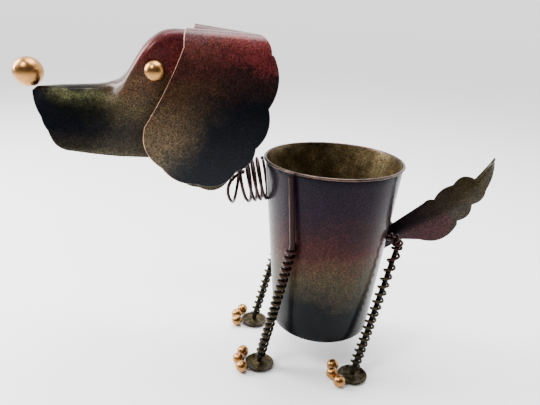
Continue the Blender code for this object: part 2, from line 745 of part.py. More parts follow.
def build():
    pot_finish = finish("pot_patina", (0.13, 0.05, 0.06), 0.6, 0.3)
    sheet_finish = finish("sheet_patina", (0.16, 0.06, 0.04), 0.6, 0.3)
    tail_finish = finish("tail_patina", (0.20, 0.08, 0.08), 0.6, 0.35)
    rod_finish = finish("rod_patina", (0.22, 0.09, 0.05), 0.7, 0.35)
    spring_finish = finish("spring_patina", (0.12, 0.08, 0.05), 0.7, 0.35)
    paw_finish = finish("paw_patina", (0.14, 0.11, 0.05), 0.6, 0.5)
    gold_finish = finish("satin_gold", (0.75, 0.50, 0.27), 1.0, 0.3)
    make_pot(pot_finish)
    for side, paw in ((-1, FRONT_LEFT_PAW), (1, FRONT_RIGHT_PAW)):
        make_front_leg(side, paw, rod_finish, spring_finish)
        make_paw("front_" + leg_side(side), paw, paw_finish, gold_finish)
    for side, paw in ((-1, REAR_LEFT_PAW), (1, REAR_RIGHT_PAW)):
        make_rear_leg(side, paw, rod_finish, spring_finish)
        make_paw("rear_" + leg_side(side), paw, paw_finish, gold_finish)
    make_head(sheet_finish)
    make_balls(gold_finish)
    make_ear(-1, (1.0, 1.0), 0.0, (0.0, 0.0), sheet_finish)
    make_ear(1, RIGHT_EAR_STRETCH, RIGHT_EAR_TURN, (RIGHT_EAR_SHIFT, RIGHT_EAR_RISE), sheet_finish)
    make_neck(spring_finish)
    make_tail(tail_finish)
    centre_on_ground()


build()
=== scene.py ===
"""Looks of a sheet-metal dog planter: fine surfaces, lacquered patina, springs, balls and a studio.

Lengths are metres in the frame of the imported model: the dog looks along -X, its left side faces -Y.
"""
import math

import bmesh
import bpy
from bpy.props import FloatProperty, FloatVectorProperty, IntProperty, PointerProperty
from mathutils import Matrix, Vector, noise


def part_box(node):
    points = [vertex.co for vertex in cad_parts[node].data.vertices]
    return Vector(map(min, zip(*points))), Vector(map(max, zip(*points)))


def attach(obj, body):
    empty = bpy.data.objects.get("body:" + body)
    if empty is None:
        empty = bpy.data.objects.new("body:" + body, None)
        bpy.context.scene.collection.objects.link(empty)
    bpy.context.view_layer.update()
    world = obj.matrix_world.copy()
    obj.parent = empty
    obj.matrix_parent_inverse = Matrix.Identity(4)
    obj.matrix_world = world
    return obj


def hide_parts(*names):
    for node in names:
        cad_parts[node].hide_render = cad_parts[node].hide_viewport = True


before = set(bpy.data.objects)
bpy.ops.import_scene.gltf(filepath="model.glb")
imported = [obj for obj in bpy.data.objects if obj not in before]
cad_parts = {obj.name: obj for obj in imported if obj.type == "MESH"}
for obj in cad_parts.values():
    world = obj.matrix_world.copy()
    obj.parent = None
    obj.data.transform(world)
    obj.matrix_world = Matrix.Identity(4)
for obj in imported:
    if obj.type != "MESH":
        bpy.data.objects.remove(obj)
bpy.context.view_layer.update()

bl_info = {
    "name": "Sheet-metal dog planter",
    "version": (1, 0, 0),
    "blender": (4, 5, 0),
    "location": "3D View > Sidebar > Dog planter",
    "description": "Builds the fine surfaces and finishes of a welded dog planter",
    "category": "Object",
}


POT_LOW, POT_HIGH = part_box("pot")
AXIS = (POT_LOW.x + POT_HIGH.x) / 2  # the pot's upright axis
POT_TOP = 0.19
FLOOR_HEIGHT = POT_LOW.z
RIM_RADIUS = (POT_HIGH.y - POT_LOW.y) / 2
RIM_FRONT = 0.0605  # from the axis to the front of the rim
BEAD = 0.0013
BEAD_LOOK = 0.00112  # the rolled wire under its lacquer
BASE_RADIUS = 0.044
POT_WALL = 0.001
BASE_FOLD = 0.0015
GAP = 0.0003
WALL_TOP_RADIUS = RIM_RADIUS - 2 * BEAD + POT_WALL

ROD = 0.00225
LEG_WIRE = 0.0009  # of the solid spring; the one built here is thicker
LEG_SEGMENTS = 6  # corners in a turn of the solid spring, on which the front knee's place depends
FRONT_WELD_ANGLE = math.radians(52.4)
FRONT_KNEE_ANGLE = math.radians(55.5)
FRONT_KNEE_HEIGHT = 0.127
FRONT_ROD_BELOW_RIM = 0.004
FRONT_SPRING_DROP = 0.005  # from the knee to the start of the spring
REAR_ANGLE = math.radians(161.2)
REAR_ROD_HEIGHT = 0.126
REAR_REACH = 0.01
REAR_KNEE_DROP = 0.008
REAR_TIGHT_LENGTH = 0.015
REAR_LOOSENESS = 0.0004  # between rod and spring
REAR_CROWDING = 1.3  # above 1 the turns lie closer towards the foot
KNEE_ROUNDING = 0.45 * REAR_KNEE_DROP
LEG_SIDES = 10
WIRE_POINTS = 24  # points in a turn of a leg spring
ANKLE_RISE = 0.005
PAW_THICKNESS = 0.0012
PAWS = {"front_left": (-0.0555, -0.0345), "front_right": (-0.0635, 0.0345),
        "rear_left": (0.029, -0.0455), "rear_right": (0.029, 0.0455)}
PAW_RADIUS = 0.0134
PAW_FLAT = 0.009
PAW_RIM = 0.003
TOE = 0.0054
PAW_STEPS = 64
BALL_FACES = (48, 28)
DENT_DEPTH = 0.006  # of a ball, as a share of its radius
PAW_PROFILE = [(0, 0.0036), (0.0022, 0.0036), (0.0031, 0.003), (0.0038, 0.002),  # the weld's mound
               (0.005, PAW_THICKNESS + 0.0001), (0.0065, PAW_THICKNESS), (PAW_FLAT, PAW_THICKNESS),
               (0.0108, 0.0021), (PAW_RADIUS - PAW_THICKNESS, PAW_RIM),
               (PAW_RADIUS - 0.0004, PAW_RIM + 0.0002), (PAW_RADIUS, PAW_RIM - 0.0003),
               (0.0112, 0.0011), (PAW_FLAT, 0), (0.0045, 0), (0, 0)]

NECK_ROUTE = [(-0.0008, 0.002), (0.009, -0.0002), (0.018, -0.002), (0.026, -0.0026), (0.0308, -0.0022),
              (0.033, 0.0016), (0.0335, 0.008), (0.0335, 0.018), (0.0335, 0.029)]
NECK_FULL_LENGTH = 0.0315  # beyond this its turns get smaller, up in the head
NECK_END_SHARE = 0.4
SHRINK_SPEED = 6.0
NECK_POINTS = 420
NECK_SIDES = 12
STEM_ROUNDING = 0.003  # where the neck bends up into its straight end
NECK_RADIUS = 0.018
NECK_WIRE = 0.0014
NECK_BELOW_RIM = 0.0225
NECK_CLOSE_LENGTH = 0.0165
NECK_START = -0.25

SHEET = 0.0008
EDGE_WEAR = 0.28  # rounding of a cut edge, as a share of the sheet's thickness
RIDGE = [(-0.1885, 0.0488), (-0.1695, 0.051), (-0.1535, 0.0522), (-0.1365, 0.0536), (-0.1265, 0.056),
         (-0.1182, 0.06), (-0.1087, 0.0699), (-0.1001, 0.0835), (-0.0942, 0.0906), (-0.0861, 0.0963),
         (-0.0797, 0.0984), (-0.0705, 0.099), (-0.0575, 0.098), (-0.0175, 0.0945)]
LIP = [(-0.1921, 0.0454, 0.003, 0.0016), (-0.1843, 0.0247, 0.009, 0.0009),
       (-0.1784, 0.014, 0.012, 0.0006), (-0.1727, 0.0037, 0.014, 0.0)]
JAW = [(-0.1727, 0.0037, 0.014, 0.0015), (-0.1587, -0.0012, 0.015, 0.0004),
       (-0.1177, -0.0027, 0.019, 0.0), (-0.0947, -0.0015, 0.022, 0.0),
       (-0.04, 0.001, 0.024, 0.0)]
RIDGE_FRONT = 3  # this point of the ridge is above the chin
HEAD_COLUMNS = (32, 72)  # over the lip and over the jaw
FOLD_ROWS = 12
FLANK_ROWS = 16
MUZZLE_FOLD = 0.0062
CROWN_FOLD = 0.0115
BROW_ROUNDING = 1.3  # the fold is blunter over the brow
BROW_SPAN = 0.1
BROW_SHARE = 0.55  # where the brow is, from the muzzle's tip to the crown's end

EAR_FRONT_TOP = (-0.0642, 0.1)
EAR_BACK_TOP = (-0.0085, 0.098)
EAR_EDGE = [(-0.064, 0.086, -0.0018), (-0.0946, 0.0243, 0.0065), (-0.0816, -0.0089, 0.0042),
            (-0.0546, -0.0212, 0.0072), (-0.0209, -0.0082, 0.004), (-0.0058, 0.0113, 0.0048),
            (0.0032, 0.0432, 0.0066), (0.0036, 0.086, 0.0)]
EAR_FOLD = 0.014
EAR_HALF_WIDTH = 0.02
EAR_FLARE = 0.016
EAR_TUCK = 0.01
EAR_DEPTH = 0.11
EAR_MIDDLE = (-0.045, 0.04)
EAR_BORDER = 0.989  # where the border begins, from the middle to the edge: bare metal with a painted highlight along the front
EAR_MEETING = 0.0024
EAR_EDGE_STEPS = 14
EAR_COLUMNS = 28
EAR_RINGS = 26
RIGHT_EAR_TURN = math.radians(3.4)
RIGHT_EAR_MOVE = (0.0045, 0.0032)
RIGHT_EAR_STRETCH = (0.9, 1.19)
RIGHT_EAR_SINK = (0.003, 0.0004)  # its middle edge dips to the crown, most in front

TAIL_HEIGHT = 0.1175
TAIL_BASE = 0.023
TAIL_LOWER = [(0.0165, 0.0003, 0.0), (0.0318, 0.0007, 0.0077), (0.0635, 0.017, 0.0),
              (0.0629, 0.0206, 0.0042), (0.0731, 0.0366, 0.0033), (0.0829, 0.0505, 0.0026),
              (0.0844, 0.0805, 0.0)]
TAIL_UPPER = [(0.0309, 0.036, -0.0015), (0.0391, 0.0393, -0.0028), (0.0535, 0.0537, -0.005),
              (0.0713, 0.0603, 0.0003), (0.0844, 0.0805, 0.0)]
TAIL_CREASE = [(0.0312, 0.016), (0.0486, 0.026), (0.061, 0.04), (0.071, 0.0515), (0.08, 0.069)]
TAIL_CREASE_RISE = 0.003
TAIL_CLEARANCE = 0.00005  # keeps its point inside the box of the solid
TAIL_COLUMNS = 110
TAIL_ROWS = 16

PATINA_TONE = 0.45  # how light the patina's colours are on the whole
STUDIO_GLOW = 3.0  # brightness of the white half of the studio
STUDIO_SHADES = [(0.1, 0.02), (0.36, 0.05), (0.54, 0.42), (0.72, 1.0)]  # from in front to behind
BACKDROP_GLOW = 1.7  # brightness of the plain backdrop
FLOOR_REACH = 40.0
FLOOR_DROP = 0.0003  # the floor lies this far under the paws
LIGHTS = [("key light", (-0.5, -0.55, 1.2), (0, 0, 0.12), (0.3, 0.3), 11),
          ("top light", (0.1, 0.25, 1.3), (0, 0, 0.1), (0.8, 0.8), 26),
          ("left light", (-1.1, 0.2, 0.76), (-0.1, 0, 0.25), (0.45, 0.85), 38),
          ("right light", (1.2, 0.1, 0.45), (0, 0, 0.12), (0.3, 0.8), 4)]
CAMERA_PLACE = (AXIS - 0.0529, -0.4163, 0.3004)
CAMERA_PITCH = math.radians(20.28)
CAMERA_ROLL = math.radians(2.89)
CAMERA_LENS = 33.333

SHARP_ANGLE = math.radians(42)  # edges sharper than this are shaded sharp
LINE_STEPS = 8  # short pieces between two points of a smooth line
FINE_STEPS = 400  # pieces a leg is cut into, to wind its spring on a part of it
MERGE = 0.00001
FINISHES = {}


# ---- sizes and colours that a user would change ----

class DogSizes(bpy.types.PropertyGroup):
    pot_steps: IntProperty(name="Pot steps", description="Faces round the pot", default=192, min=32)
    sheet_thickness: FloatProperty(
        name="Sheet", description="Thickness of the head, ears and tail", default=SHEET, min=0.0003,
        unit="LENGTH", precision=4)
    leg_wire: FloatProperty(
        name="Leg wire", description="Radius of the wire wound on the legs", default=LEG_WIRE + 0.0003,
        min=0.0003, unit="LENGTH", precision=4)
    neck_wire: FloatProperty(
        name="Neck wire", description="Radius of the neck spring's wire", default=NECK_WIRE, min=0.0005,
        unit="LENGTH", precision=4)
    front_turns: IntProperty(
        name="Front turns", description="Turns of each front leg spring", default=20, min=3)
    rear_tight_turns: IntProperty(
        name="Rear close turns", description="Close turns at a rear knee", default=4, min=0)
    rear_turns: IntProperty(
        name="Rear turns", description="Open turns of each rear leg spring", default=17, min=3)
    neck_close_turns: FloatProperty(
        name="Neck close turns", description="Turns near the pot", default=3.5, min=0.5)
    neck_open_turns: FloatProperty(
        name="Neck open turns", description="Turns up into the head", default=4.0, min=1.0)


class DogColours(bpy.types.PropertyGroup):
    plum: FloatVectorProperty(
        name="Plum", description="Patina under the rim", subtype="COLOR", size=3,
        default=(0.02, 0.0085, 0.023), min=0, max=1)
    brick: FloatVectorProperty(
        name="Brick", description="Red band of the patina", subtype="COLOR", size=3,
        default=(0.078, 0.019, 0.018), min=0, max=1)
    olive: FloatVectorProperty(
        name="Olive gold", description="Bare olive gold between the colours", subtype="COLOR", size=3,
        default=(0.086, 0.066, 0.034), min=0, max=1)
    night: FloatVectorProperty(
        name="Night blue", description="Dark ends of the patina", subtype="COLOR", size=3,
        default=(0.0035, 0.0045, 0.0075), min=0, max=1)
    gold: FloatVectorProperty(
        name="Gold", description="Satin balls", subtype="COLOR", size=3,
        default=(0.36, 0.175, 0.056), min=0, max=1)
    paper: FloatVectorProperty(
        name="Floor", description="Studio floor", subtype="COLOR", size=3,
        default=(0.96, 0.96, 0.96), min=0, max=1)


def sizes():
    return bpy.context.scene.dog_sizes


def colours():
    return bpy.context.scene.dog_colours


# ---- lines and shapes ----

def swell_arc(start, end, swell, steps):
    way = end - start
    side = Vector((way.y, -way.x)).normalized()
    return [start + way * (n / steps) + side * swell * 4 * (n / steps) * (1 - n / steps)
            for n in range(steps)]


def cut_edge(corners, steps):
    points = []
    for here, there in zip(corners, corners[1:]):
        points += swell_arc(Vector(here[:2]), Vector(there[:2]), here[2], steps)
    points.append(Vector(corners[-1][:2]))
    return points


def line_length(line):
    return sum((there - here).length for here, there in zip(line, line[1:]))


def spread(points, count):
    lengths = [0.0]
    for here, there in zip(points, points[1:]):
        lengths.append(lengths[-1] + (there - here).length)
    evenly = []
    span = 0
    for number in range(count):
        goal = lengths[-1] * number / (count - 1)
        while span < len(points) - 2 and lengths[span + 1] < goal:
            span += 1
        share = (goal - lengths[span]) / (lengths[span + 1] - lengths[span])
        evenly.append(points[span].lerp(points[span + 1], share))
    return evenly


def smooth_line(points):
    ends = [points[0] * 2 - points[1], *points, points[-1] * 2 - points[-2]]
    line = []
    for before, start, end, after in zip(ends, ends[1:], ends[2:], ends[3:]):
        for step in range(LINE_STEPS):
            share = step / LINE_STEPS
            line.append(0.5 * (2 * start + (end - before) * share
                               + (2 * before - 5 * start + 4 * end - after) * share ** 2
                               + (3 * start - before - 3 * end + after) * share ** 3))
    line.append(points[-1].copy())
    return line


def rounded(corners, rounding):
    line = [corners[0]]
    for before, corner, after in zip(corners, corners[1:], corners[2:]):
        start = corner + (before - corner).normalized() * rounding
        end = corner + (after - corner).normalized() * rounding
        for step in range(LINE_STEPS + 1):
            share = step / LINE_STEPS
            line.append(start.lerp(corner, share).lerp(corner.lerp(end, share), share))
    line.append(corners[-1])
    return line


def wall_radius(height):
    share = (height - FLOOR_HEIGHT) / (POT_TOP - FLOOR_HEIGHT)
    return BASE_RADIUS + (WALL_TOP_RADIUS - BASE_RADIUS) * share


def from_rim(x, z):
    return Vector((x - RIM_FRONT, z + POT_TOP))


def fill_rows(shape, rows, first=0):
    """Faces between rows of corners; those in the first column take the material slot given."""
    for here, there in zip(rows, rows[1:]):
        for number, corners in enumerate(zip(here, here[1:], there[1:], there)):
            shape.faces.new(corners).material_index = 0 if number else first


def face_out(shape, way):
    """Turn all faces of an open sheet so that on the whole they look along a direction."""
    bmesh.ops.recalc_face_normals(shape, faces=shape.faces)
    total = Vector()
    for face in shape.faces:
        total += face.normal * face.calc_area()
    if total.dot(way) < 0:
        bmesh.ops.reverse_faces(shape, faces=shape.faces)


def new_object(name, data):
    piece = bpy.data.objects.new(name, data)
    bpy.context.scene.collection.objects.link(piece)
    return piece


def soften(mesh):
    mesh.shade_smooth()
    mesh.set_sharp_from_angle(angle=SHARP_ANGLE)


def mesh_object(name, shape, materials, move=True):
    """A smooth-shaded object from a bmesh, moved from the pot's axis to its place in the frame."""
    if move:
        bmesh.ops.translate(shape, vec=(AXIS, 0, 0), verts=shape.verts)
    mesh = bpy.data.meshes.new(name)
    shape.to_mesh(mesh)
    shape.free()
    for material in materials:
        mesh.materials.append(material)
    piece = new_object(name, mesh)
    soften(mesh)
    return piece


def baked(piece):
    """The plain mesh of an object's evaluated shape, in place of the object."""
    bpy.context.view_layer.update()
    final = piece.evaluated_get(bpy.context.evaluated_depsgraph_get())
    mesh = bpy.data.meshes.new_from_object(final)
    name = piece.name
    bpy.data.objects.remove(piece)
    mesh.name = name
    return new_object(name, mesh)


def dress(piece, node):
    """Make a piece stand for one CAD node."""
    if len(piece.data.polygons) == 0:
        raise RuntimeError("no faces on " + piece.name)
    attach(piece, "root")
    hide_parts(node)


def sheet_object(name, shape, outside, border, insides):
    """A sheet with its thickness and its worn cut edges, from the bmesh of its outer face."""
    piece = mesh_object(name, shape, [outside, border, border, *insides])
    thickness = sizes().sheet_thickness
    solid = piece.modifiers.new("thickness", "SOLIDIFY")
    solid.thickness = thickness
    solid.offset = -1
    solid.material_offset_rim = 1
    solid.material_offset = 3
    bevel = piece.modifiers.new("worn edge", "BEVEL")
    bevel.width = thickness * EDGE_WEAR
    bevel.segments = 2
    bevel.limit_method = "ANGLE"
    bevel.angle_limit = math.radians(50)
    return baked(piece)


# ---- finishes ----

def fill_inputs(node, inputs):
    """Link or set a node's inputs, given by name or number."""
    for slot, value in inputs.items():
        if hasattr(value, "links"):
            node.id_data.links.new(value, node.inputs[slot])
        else:
            node.inputs[slot].default_value = value


def add_node(tree, kind, inputs, out=0, **settings):
    """Add a node with its inputs and give back one of its outputs."""
    node = tree.nodes.new(kind)
    for key, value in settings.items():
        setattr(node, key, value)
    fill_inputs(node, inputs)
    return node.outputs[out]


def add_ramp(tree, factor, stops):
    """A colour ramp that eases between its (place, colour) stops."""
    colour_out = add_node(tree, "ShaderNodeValToRGB", {"Fac": factor})
    ramp = colour_out.node.color_ramp
    ramp.interpolation = "EASE"
    while len(ramp.elements) < len(stops):
        ramp.elements.new(0.5)
    for element, (place, colour) in zip(ramp.elements, stops):
        element.position = place
        element.color = (*colour, 1.0)
    return colour_out


class Nodes:
    """Short hand for building a material's tree."""

    def __init__(self, name, tone=1.0):
        self.tone = tone
        self.material = bpy.data.materials.new(name)
        self.material.use_nodes = True
        self.tree = self.material.node_tree
        self.place = self.add("TexCoord", {}, "Object")

    def add(self, kind, inputs, out=0, **settings):
        return add_node(self.tree, "ShaderNode" + kind, inputs, out, **settings)

    def math(self, operation, one, two):
        return self.add("Math", {0: one, 1: two}, operation=operation)

    def plus(self, one, two):
        return self.math("ADD", one, two)

    def times(self, one, two):
        return self.math("MULTIPLY", one, two)

    def along(self, direction, start, length):
        """How far a place lies along a direction: 0 at start, 1 at start + length."""
        reach = self.add("VectorMath", {0: self.place, 1: Vector(direction).normalized()}, "Value",
                         operation="DOT_PRODUCT")
        return self.math("DIVIDE", self.math("SUBTRACT", reach, start), length)

    def noise(self, scale, detail, roughness=0.6, seed=0.0):
        moved = self.add("Mapping", {"Vector": self.place, "Location": (seed, seed * 0.7, -seed)})
        return self.add("TexNoise", {"Vector": moved, "Scale": scale, "Detail": detail,
                                     "Roughness": roughness})

    def shake(self, *layers):
        """Noise about zero in one or two layers of (scale, detail, roughness, seed, amount)."""
        parts = [self.times(self.math("SUBTRACT", self.noise(*look), 0.5), amount)
                 for *look, amount in layers]
        return parts[0] if len(parts) == 1 else self.plus(*parts)

    def ramp(self, factor, stops):
        return add_ramp(self.tree, factor, [(place, [part * self.tone for part in colour])
                                            for place, colour in stops])

    def greys(self, factor, low, high):
        return self.ramp(factor, [(0.3, (low,) * 3), (0.7, (high,) * 3)])

    def step(self, factor, low, high):
        return self.add("MapRange", {"Value": factor, "From Min": low, "From Max": high},
                        interpolation_type="SMOOTHSTEP")

    def mix(self, factor, one, two, blend="MIX"):
        one, two = (end if hasattr(end, "links") else (*end, 1.0) for end in (one, two))
        return self.add("Mix", {"Factor": factor, 6: one, 7: two}, 2, data_type="RGBA", blend_type=blend)

    def finish(self, colour, metallic, rough, height, relief, coat=()):
        """Fill in the shader and give back the material."""
        bump = self.add("Bump", {"Strength": relief, "Distance": 0.0002, "Height": height})
        fill_inputs(self.tree.nodes["Principled BSDF"],
                    {"Base Color": colour, "Metallic": metallic, "Roughness": rough, "Normal": bump,
                     **dict(coat)})
        return self.material


def lacquer(n, colour, metallic, rough_low, rough_high, coat, relief, gloss=1.155):
    """Give a patina its mottled gloss under a clear coat."""
    rough = n.add("MapRange", {"Value": n.noise(420, 3, 0.6, 3.1), "From Min": 0.3, "From Max": 0.7,
                               "To Min": rough_low, "To Max": rough_high})
    return n.finish(colour, metallic, rough, n.noise(900, 4, 0.65, 7.7), relief,
                    {"Specular IOR Level": 0.04, "Coat Weight": coat, "Coat Roughness": 0.13,
                     "Coat IOR": gloss})


def speckled(n, colour, seed=0.0, depth=0.75):
    """Fine dark grain and lighter flecks that follow the colour below them."""
    grain = n.step(n.noise(700, 4, 0.75, seed + 1.3), 0.45, 0.58)
    colour = n.mix(n.times(grain, depth), colour, (0.2, 0.2, 0.24), "MULTIPLY")
    patch = n.step(n.noise(150, 5, 0.65, seed + 2.9), 0.36, 0.6)
    flecks = n.step(n.noise(950, 3, 0.75, seed + 5.2), 0.5, 0.62)
    return n.mix(n.times(flecks, n.times(patch, 0.9)), colour, (2.6, 2.3, 1.9), "MULTIPLY")


def pot_outside():
    c = colours()
    n = Nodes("pot patina", PATINA_TONE)
    level = n.plus(n.along((0, 0, 1), 0.033, 0.157),
                   n.shake((22, 5, 0.6, 0.0, 0.3), (140, 4, 0.7, 4.0, 0.16)))
    colour = n.ramp(level, [
        (0.0, c.night), (0.2, (0.005, 0.007, 0.009)), (0.29, (0.05, 0.042, 0.026)), (0.4, c.olive),
        (0.49, (0.115, 0.052, 0.032)), (0.56, c.brick), (0.68, (0.042, 0.012, 0.019)), (0.84, c.plum),
        (1.0, (0.011, 0.008, 0.018))])
    return lacquer(n, speckled(n, colour), 0.18, 0.32, 0.48, 0.62, 0.22)


def pot_inside():
    n = Nodes("pot inside patina", 0.8)
    colour = n.ramp(n.noise(60, 6, 0.68, 9.0), [
        (0.28, (0.022, 0.016, 0.009)), (0.46, (0.1, 0.07, 0.032)), (0.6, (0.165, 0.125, 0.062)),
        (0.78, (0.29, 0.24, 0.135))])
    return lacquer(n, speckled(n, colour, 11.0), 0.4, 0.3, 0.46, 0.3, 0.25)


def sheet_inside():
    n = Nodes("sheet inside")
    colour = n.ramp(n.noise(70, 6, 0.68, 19.0), [
        (0.28, (0.01, 0.008, 0.005)), (0.48, (0.04, 0.028, 0.013)), (0.62, (0.085, 0.062, 0.028)),
        (0.8, (0.15, 0.12, 0.06))])
    return lacquer(n, speckled(n, colour, 12.0), 0.0, 0.5, 0.66, 0.0, 0.25)


def head_patina():
    c = colours()
    n = Nodes("head patina", 1.9 * PATINA_TONE)
    up = n.along((0, 0, 1), 0.187, 0.1)
    shake = n.shake((30, 5, 0.62, 2.0, 0.36), (160, 4, 0.7, 5.0, 0.18))
    skull = n.ramp(n.plus(up, shake), [
        (0.0, (0.05, 0.039, 0.024)), (0.22, (0.02, 0.016, 0.011)), (0.42, (0.06, 0.045, 0.022)),
        (0.62, (0.078, 0.04, 0.021)), (0.8, (0.11, 0.022, 0.02)), (1.0, (0.078, 0.013, 0.017))])
    # Muzzle colour by height: the bright olive band at 0.485, just under the top edge, is a painted
    # reflection of the light on the fold.
    muzzle = n.ramp(n.plus(up, n.times(shake, 0.4)), [
        (0.0, (0.055, 0.048, 0.028)), (0.08, (0.018, 0.016, 0.012)), (0.22, c.night),
        (0.35, (0.004, 0.005, 0.005)), (0.42, (0.024, 0.025, 0.013)), (0.485, (0.105, 0.108, 0.052)),
        (0.54, (0.012, 0.011, 0.009)), (0.75, (0.03, 0.02, 0.016))])
    back = n.plus(n.along((1, 0, 0), AXIS - RIM_FRONT - 0.1921, 0.135), shake)
    # The muzzle's tip turns night blue, which also fades the painted reflection there.
    muzzle = n.mix(n.step(back, 0.04, 0.16), [n.tone * part for part in c.night], muzzle)
    colour = n.mix(n.step(back, 0.3, 0.72), muzzle, skull)
    return lacquer(n, speckled(n, colour, 21.0), 0.25, 0.3, 0.46, 0.85, 0.2)


def ear_patina():
    n = Nodes("ear patina", 1.7 * PATINA_TONE)
    down = n.along((0.06, 0, -1), 0.06 * (AXIS - 0.125) - 0.29, 0.125)
    back = n.along((1, 0, -0.55), (AXIS - 0.155) - 0.55 * 0.165 - 0.04, 0.15)
    shake = n.shake((34, 5, 0.62, 13.0, 0.3), (170, 4, 0.7, 15.0, 0.16))
    level = n.plus(down, shake)
    front = n.ramp(level, [
        (0.0, (0.11, 0.05, 0.055)), (0.1, (0.13, 0.037, 0.032)), (0.24, (0.05, 0.016, 0.013)),
        (0.42, (0.054, 0.028, 0.015)), (0.66, (0.118, 0.083, 0.046)), (0.86, (0.095, 0.078, 0.052))])
    rear = n.ramp(level, [
        (0.0, (0.11, 0.042, 0.052)), (0.11, (0.19, 0.035, 0.036)), (0.19, (0.115, 0.02, 0.022)),
        (0.28, (0.02, 0.009, 0.009)), (0.52, colours().night), (1.0, (0.0035, 0.005, 0.009))])
    colour = n.mix(n.step(n.plus(back, n.times(shake, 0.8)), 0.32, 0.62), front, rear)
    return lacquer(n, speckled(n, colour, 31.0), 0.25, 0.32, 0.48, 0.75, 0.2)


def tail_patina():
    n = Nodes("tail patina", 0.9 * PATINA_TONE)
    out = n.along((0.85, 0, 0.52), 0.85 * (AXIS + 0.052) + 0.52 * 0.117, 0.108)
    over = n.along((-0.52, 0, 0.85), -0.52 * (AXIS + 0.052) + 0.85 * 0.117 - 0.018, 0.036)
    shake = n.shake((50, 5, 0.62, 41.0, 0.34), (200, 4, 0.7, 45.0, 0.2))
    level = n.plus(out, shake)
    lower = n.ramp(level, [
        (0.0, (0.02, 0.006, 0.012)), (0.22, (0.075, 0.022, 0.03)), (0.45, (0.095, 0.034, 0.036)),
        (0.62, (0.075, 0.062, 0.046)), (1.0, (0.11, 0.088, 0.05))])
    upper = n.ramp(level, [
        (0.0, (0.007, 0.004, 0.009)), (0.3, (0.02, 0.008, 0.012)), (0.55, (0.045, 0.03, 0.018)),
        (0.8, (0.08, 0.06, 0.028)), (1.0, (0.09, 0.074, 0.042))])
    colour = n.mix(n.step(n.plus(over, n.times(shake, 0.6)), 0.34, 0.58), lower, upper)
    return lacquer(n, speckled(n, colour, 51.0), 0.3, 0.3, 0.46, 0.75, 0.25)


def cut_metal(name, bright, dull, seed):
    """Worn bare metal of a sheet's cut edge."""
    n = Nodes(name)
    colour = n.ramp(n.noise(90, 5, 0.7, seed), [(0.35, dull), (0.6, bright)])
    rough = n.greys(n.noise(300, 3, 0.6, seed + 2), 0.25, 0.5)
    return n.finish(colour, 0.9, rough, n.noise(700, 4, 0.6, seed + 4), 0.3)


def ear_edge_and_highlight():
    """Border of an ear: bare metal with a painted highlight, light salmon along the front where the edge
    catches the light, dark and only here and there bare below.
    """
    n = Nodes("ear edge and highlight")
    # Painted highlight: the edge is light salmon towards the front, where it catches the light, and dark
    # elsewhere.
    front = n.step(n.along((-1, 0, 0.25), 0.1, 0.018), 0.0, 1.0)
    wear = n.noise(140, 5, 0.7, 95.0)
    bare = n.ramp(wear, [(0.3, (0.16, 0.07, 0.05)), (0.55, (0.55, 0.29, 0.2))])
    dull = n.ramp(wear, [(0.5, (0.004, 0.004, 0.005)), (0.68, (0.16, 0.13, 0.08))])
    rough = n.greys(n.noise(300, 3, 0.6, 97.0), 0.28, 0.5)
    return n.finish(n.mix(front, dull, bare), 0.25, rough, n.noise(700, 4, 0.6, 99.0), 0.3)


def rod_patina():
    n = Nodes("rod patina", 0.3)
    level = n.plus(n.along((0, 0, 1), 0.0, 0.186), n.shake((90, 5, 0.65, 61.0, 0.3)))
    colour = n.ramp(level, [
        (0.0, (0.06, 0.045, 0.02)), (0.12, (0.03, 0.022, 0.012)), (0.35, (0.012, 0.01, 0.008)),
        (0.6, (0.04, 0.018, 0.012)), (0.78, (0.058, 0.012, 0.011)), (1.0, (0.046, 0.012, 0.013))])
    return lacquer(n, speckled(n, colour, 63.0, 0.5), 0.2, 0.3, 0.45, 0.35, 0.25, 1.25)


def spring_patina(name, foot, middle, top, seed):
    n = Nodes(name)
    level = n.plus(n.along((0, 0, 1), 0.0, 0.19), n.shake((110, 5, 0.7, seed, 0.4)))
    colour = n.ramp(level, [(0.0, foot), (0.26, middle), (0.44, middle), (0.58, top)])
    return lacquer(n, speckled(n, colour, seed + 2, 0.4), 0.4, 0.25, 0.4, 0.45, 0.2, 1.25)


def paw_patina():
    n = Nodes("paw patina", 0.6)
    colour = n.ramp(n.noise(260, 6, 0.7, 71.0), [
        (0.3, (0.01, 0.008, 0.005)), (0.5, (0.045, 0.034, 0.016)), (0.66, (0.18, 0.125, 0.045)),
        (0.85, (0.5, 0.36, 0.14))])
    return lacquer(n, colour, 0.5, 0.35, 0.55, 0.2, 0.6)


def satin_gold():
    gold = colours().gold
    n = Nodes("satin gold")
    colour = n.ramp(n.noise(75, 4, 0.6, 81.0), [
        (0.3, [0.72 * part for part in gold]), (0.55, gold), (0.8, (0.5, 0.27, 0.1))])
    specks = n.step(n.noise(800, 2, 0.7, 83.0), 0.66, 0.74)
    colour = n.mix(n.times(specks, 0.6), colour, (0.2, 0.1, 0.05))
    rough = n.greys(n.noise(240, 4, 0.6, 85.0), 0.25, 0.36)
    return n.finish(colour, 1.0, rough, n.noise(500, 3, 0.6, 87.0), 0.12)


def shared(make, *values):
    """A finish that several pieces use, made once."""
    key = make.__name__ + "|" + "|".join(str(value) for value in values)
    if key not in FINISHES:
        FINISHES[key] = make(*values)
    return FINISHES[key]


def wire_finish(kind):
    if kind == "neck":
        return shared(spring_patina, "neck spring patina", (0.01, 0.007, 0.006), (0.016, 0.008, 0.006),
                      (0.03, 0.01, 0.009), 65.0)
    return shared(spring_patina, "leg spring patina", (0.006, 0.005, 0.004), (0.034, 0.025, 0.012),
                  (0.026, 0.008, 0.007), 67.0)


# ---- Geometry Nodes: a wire wound along a path ----

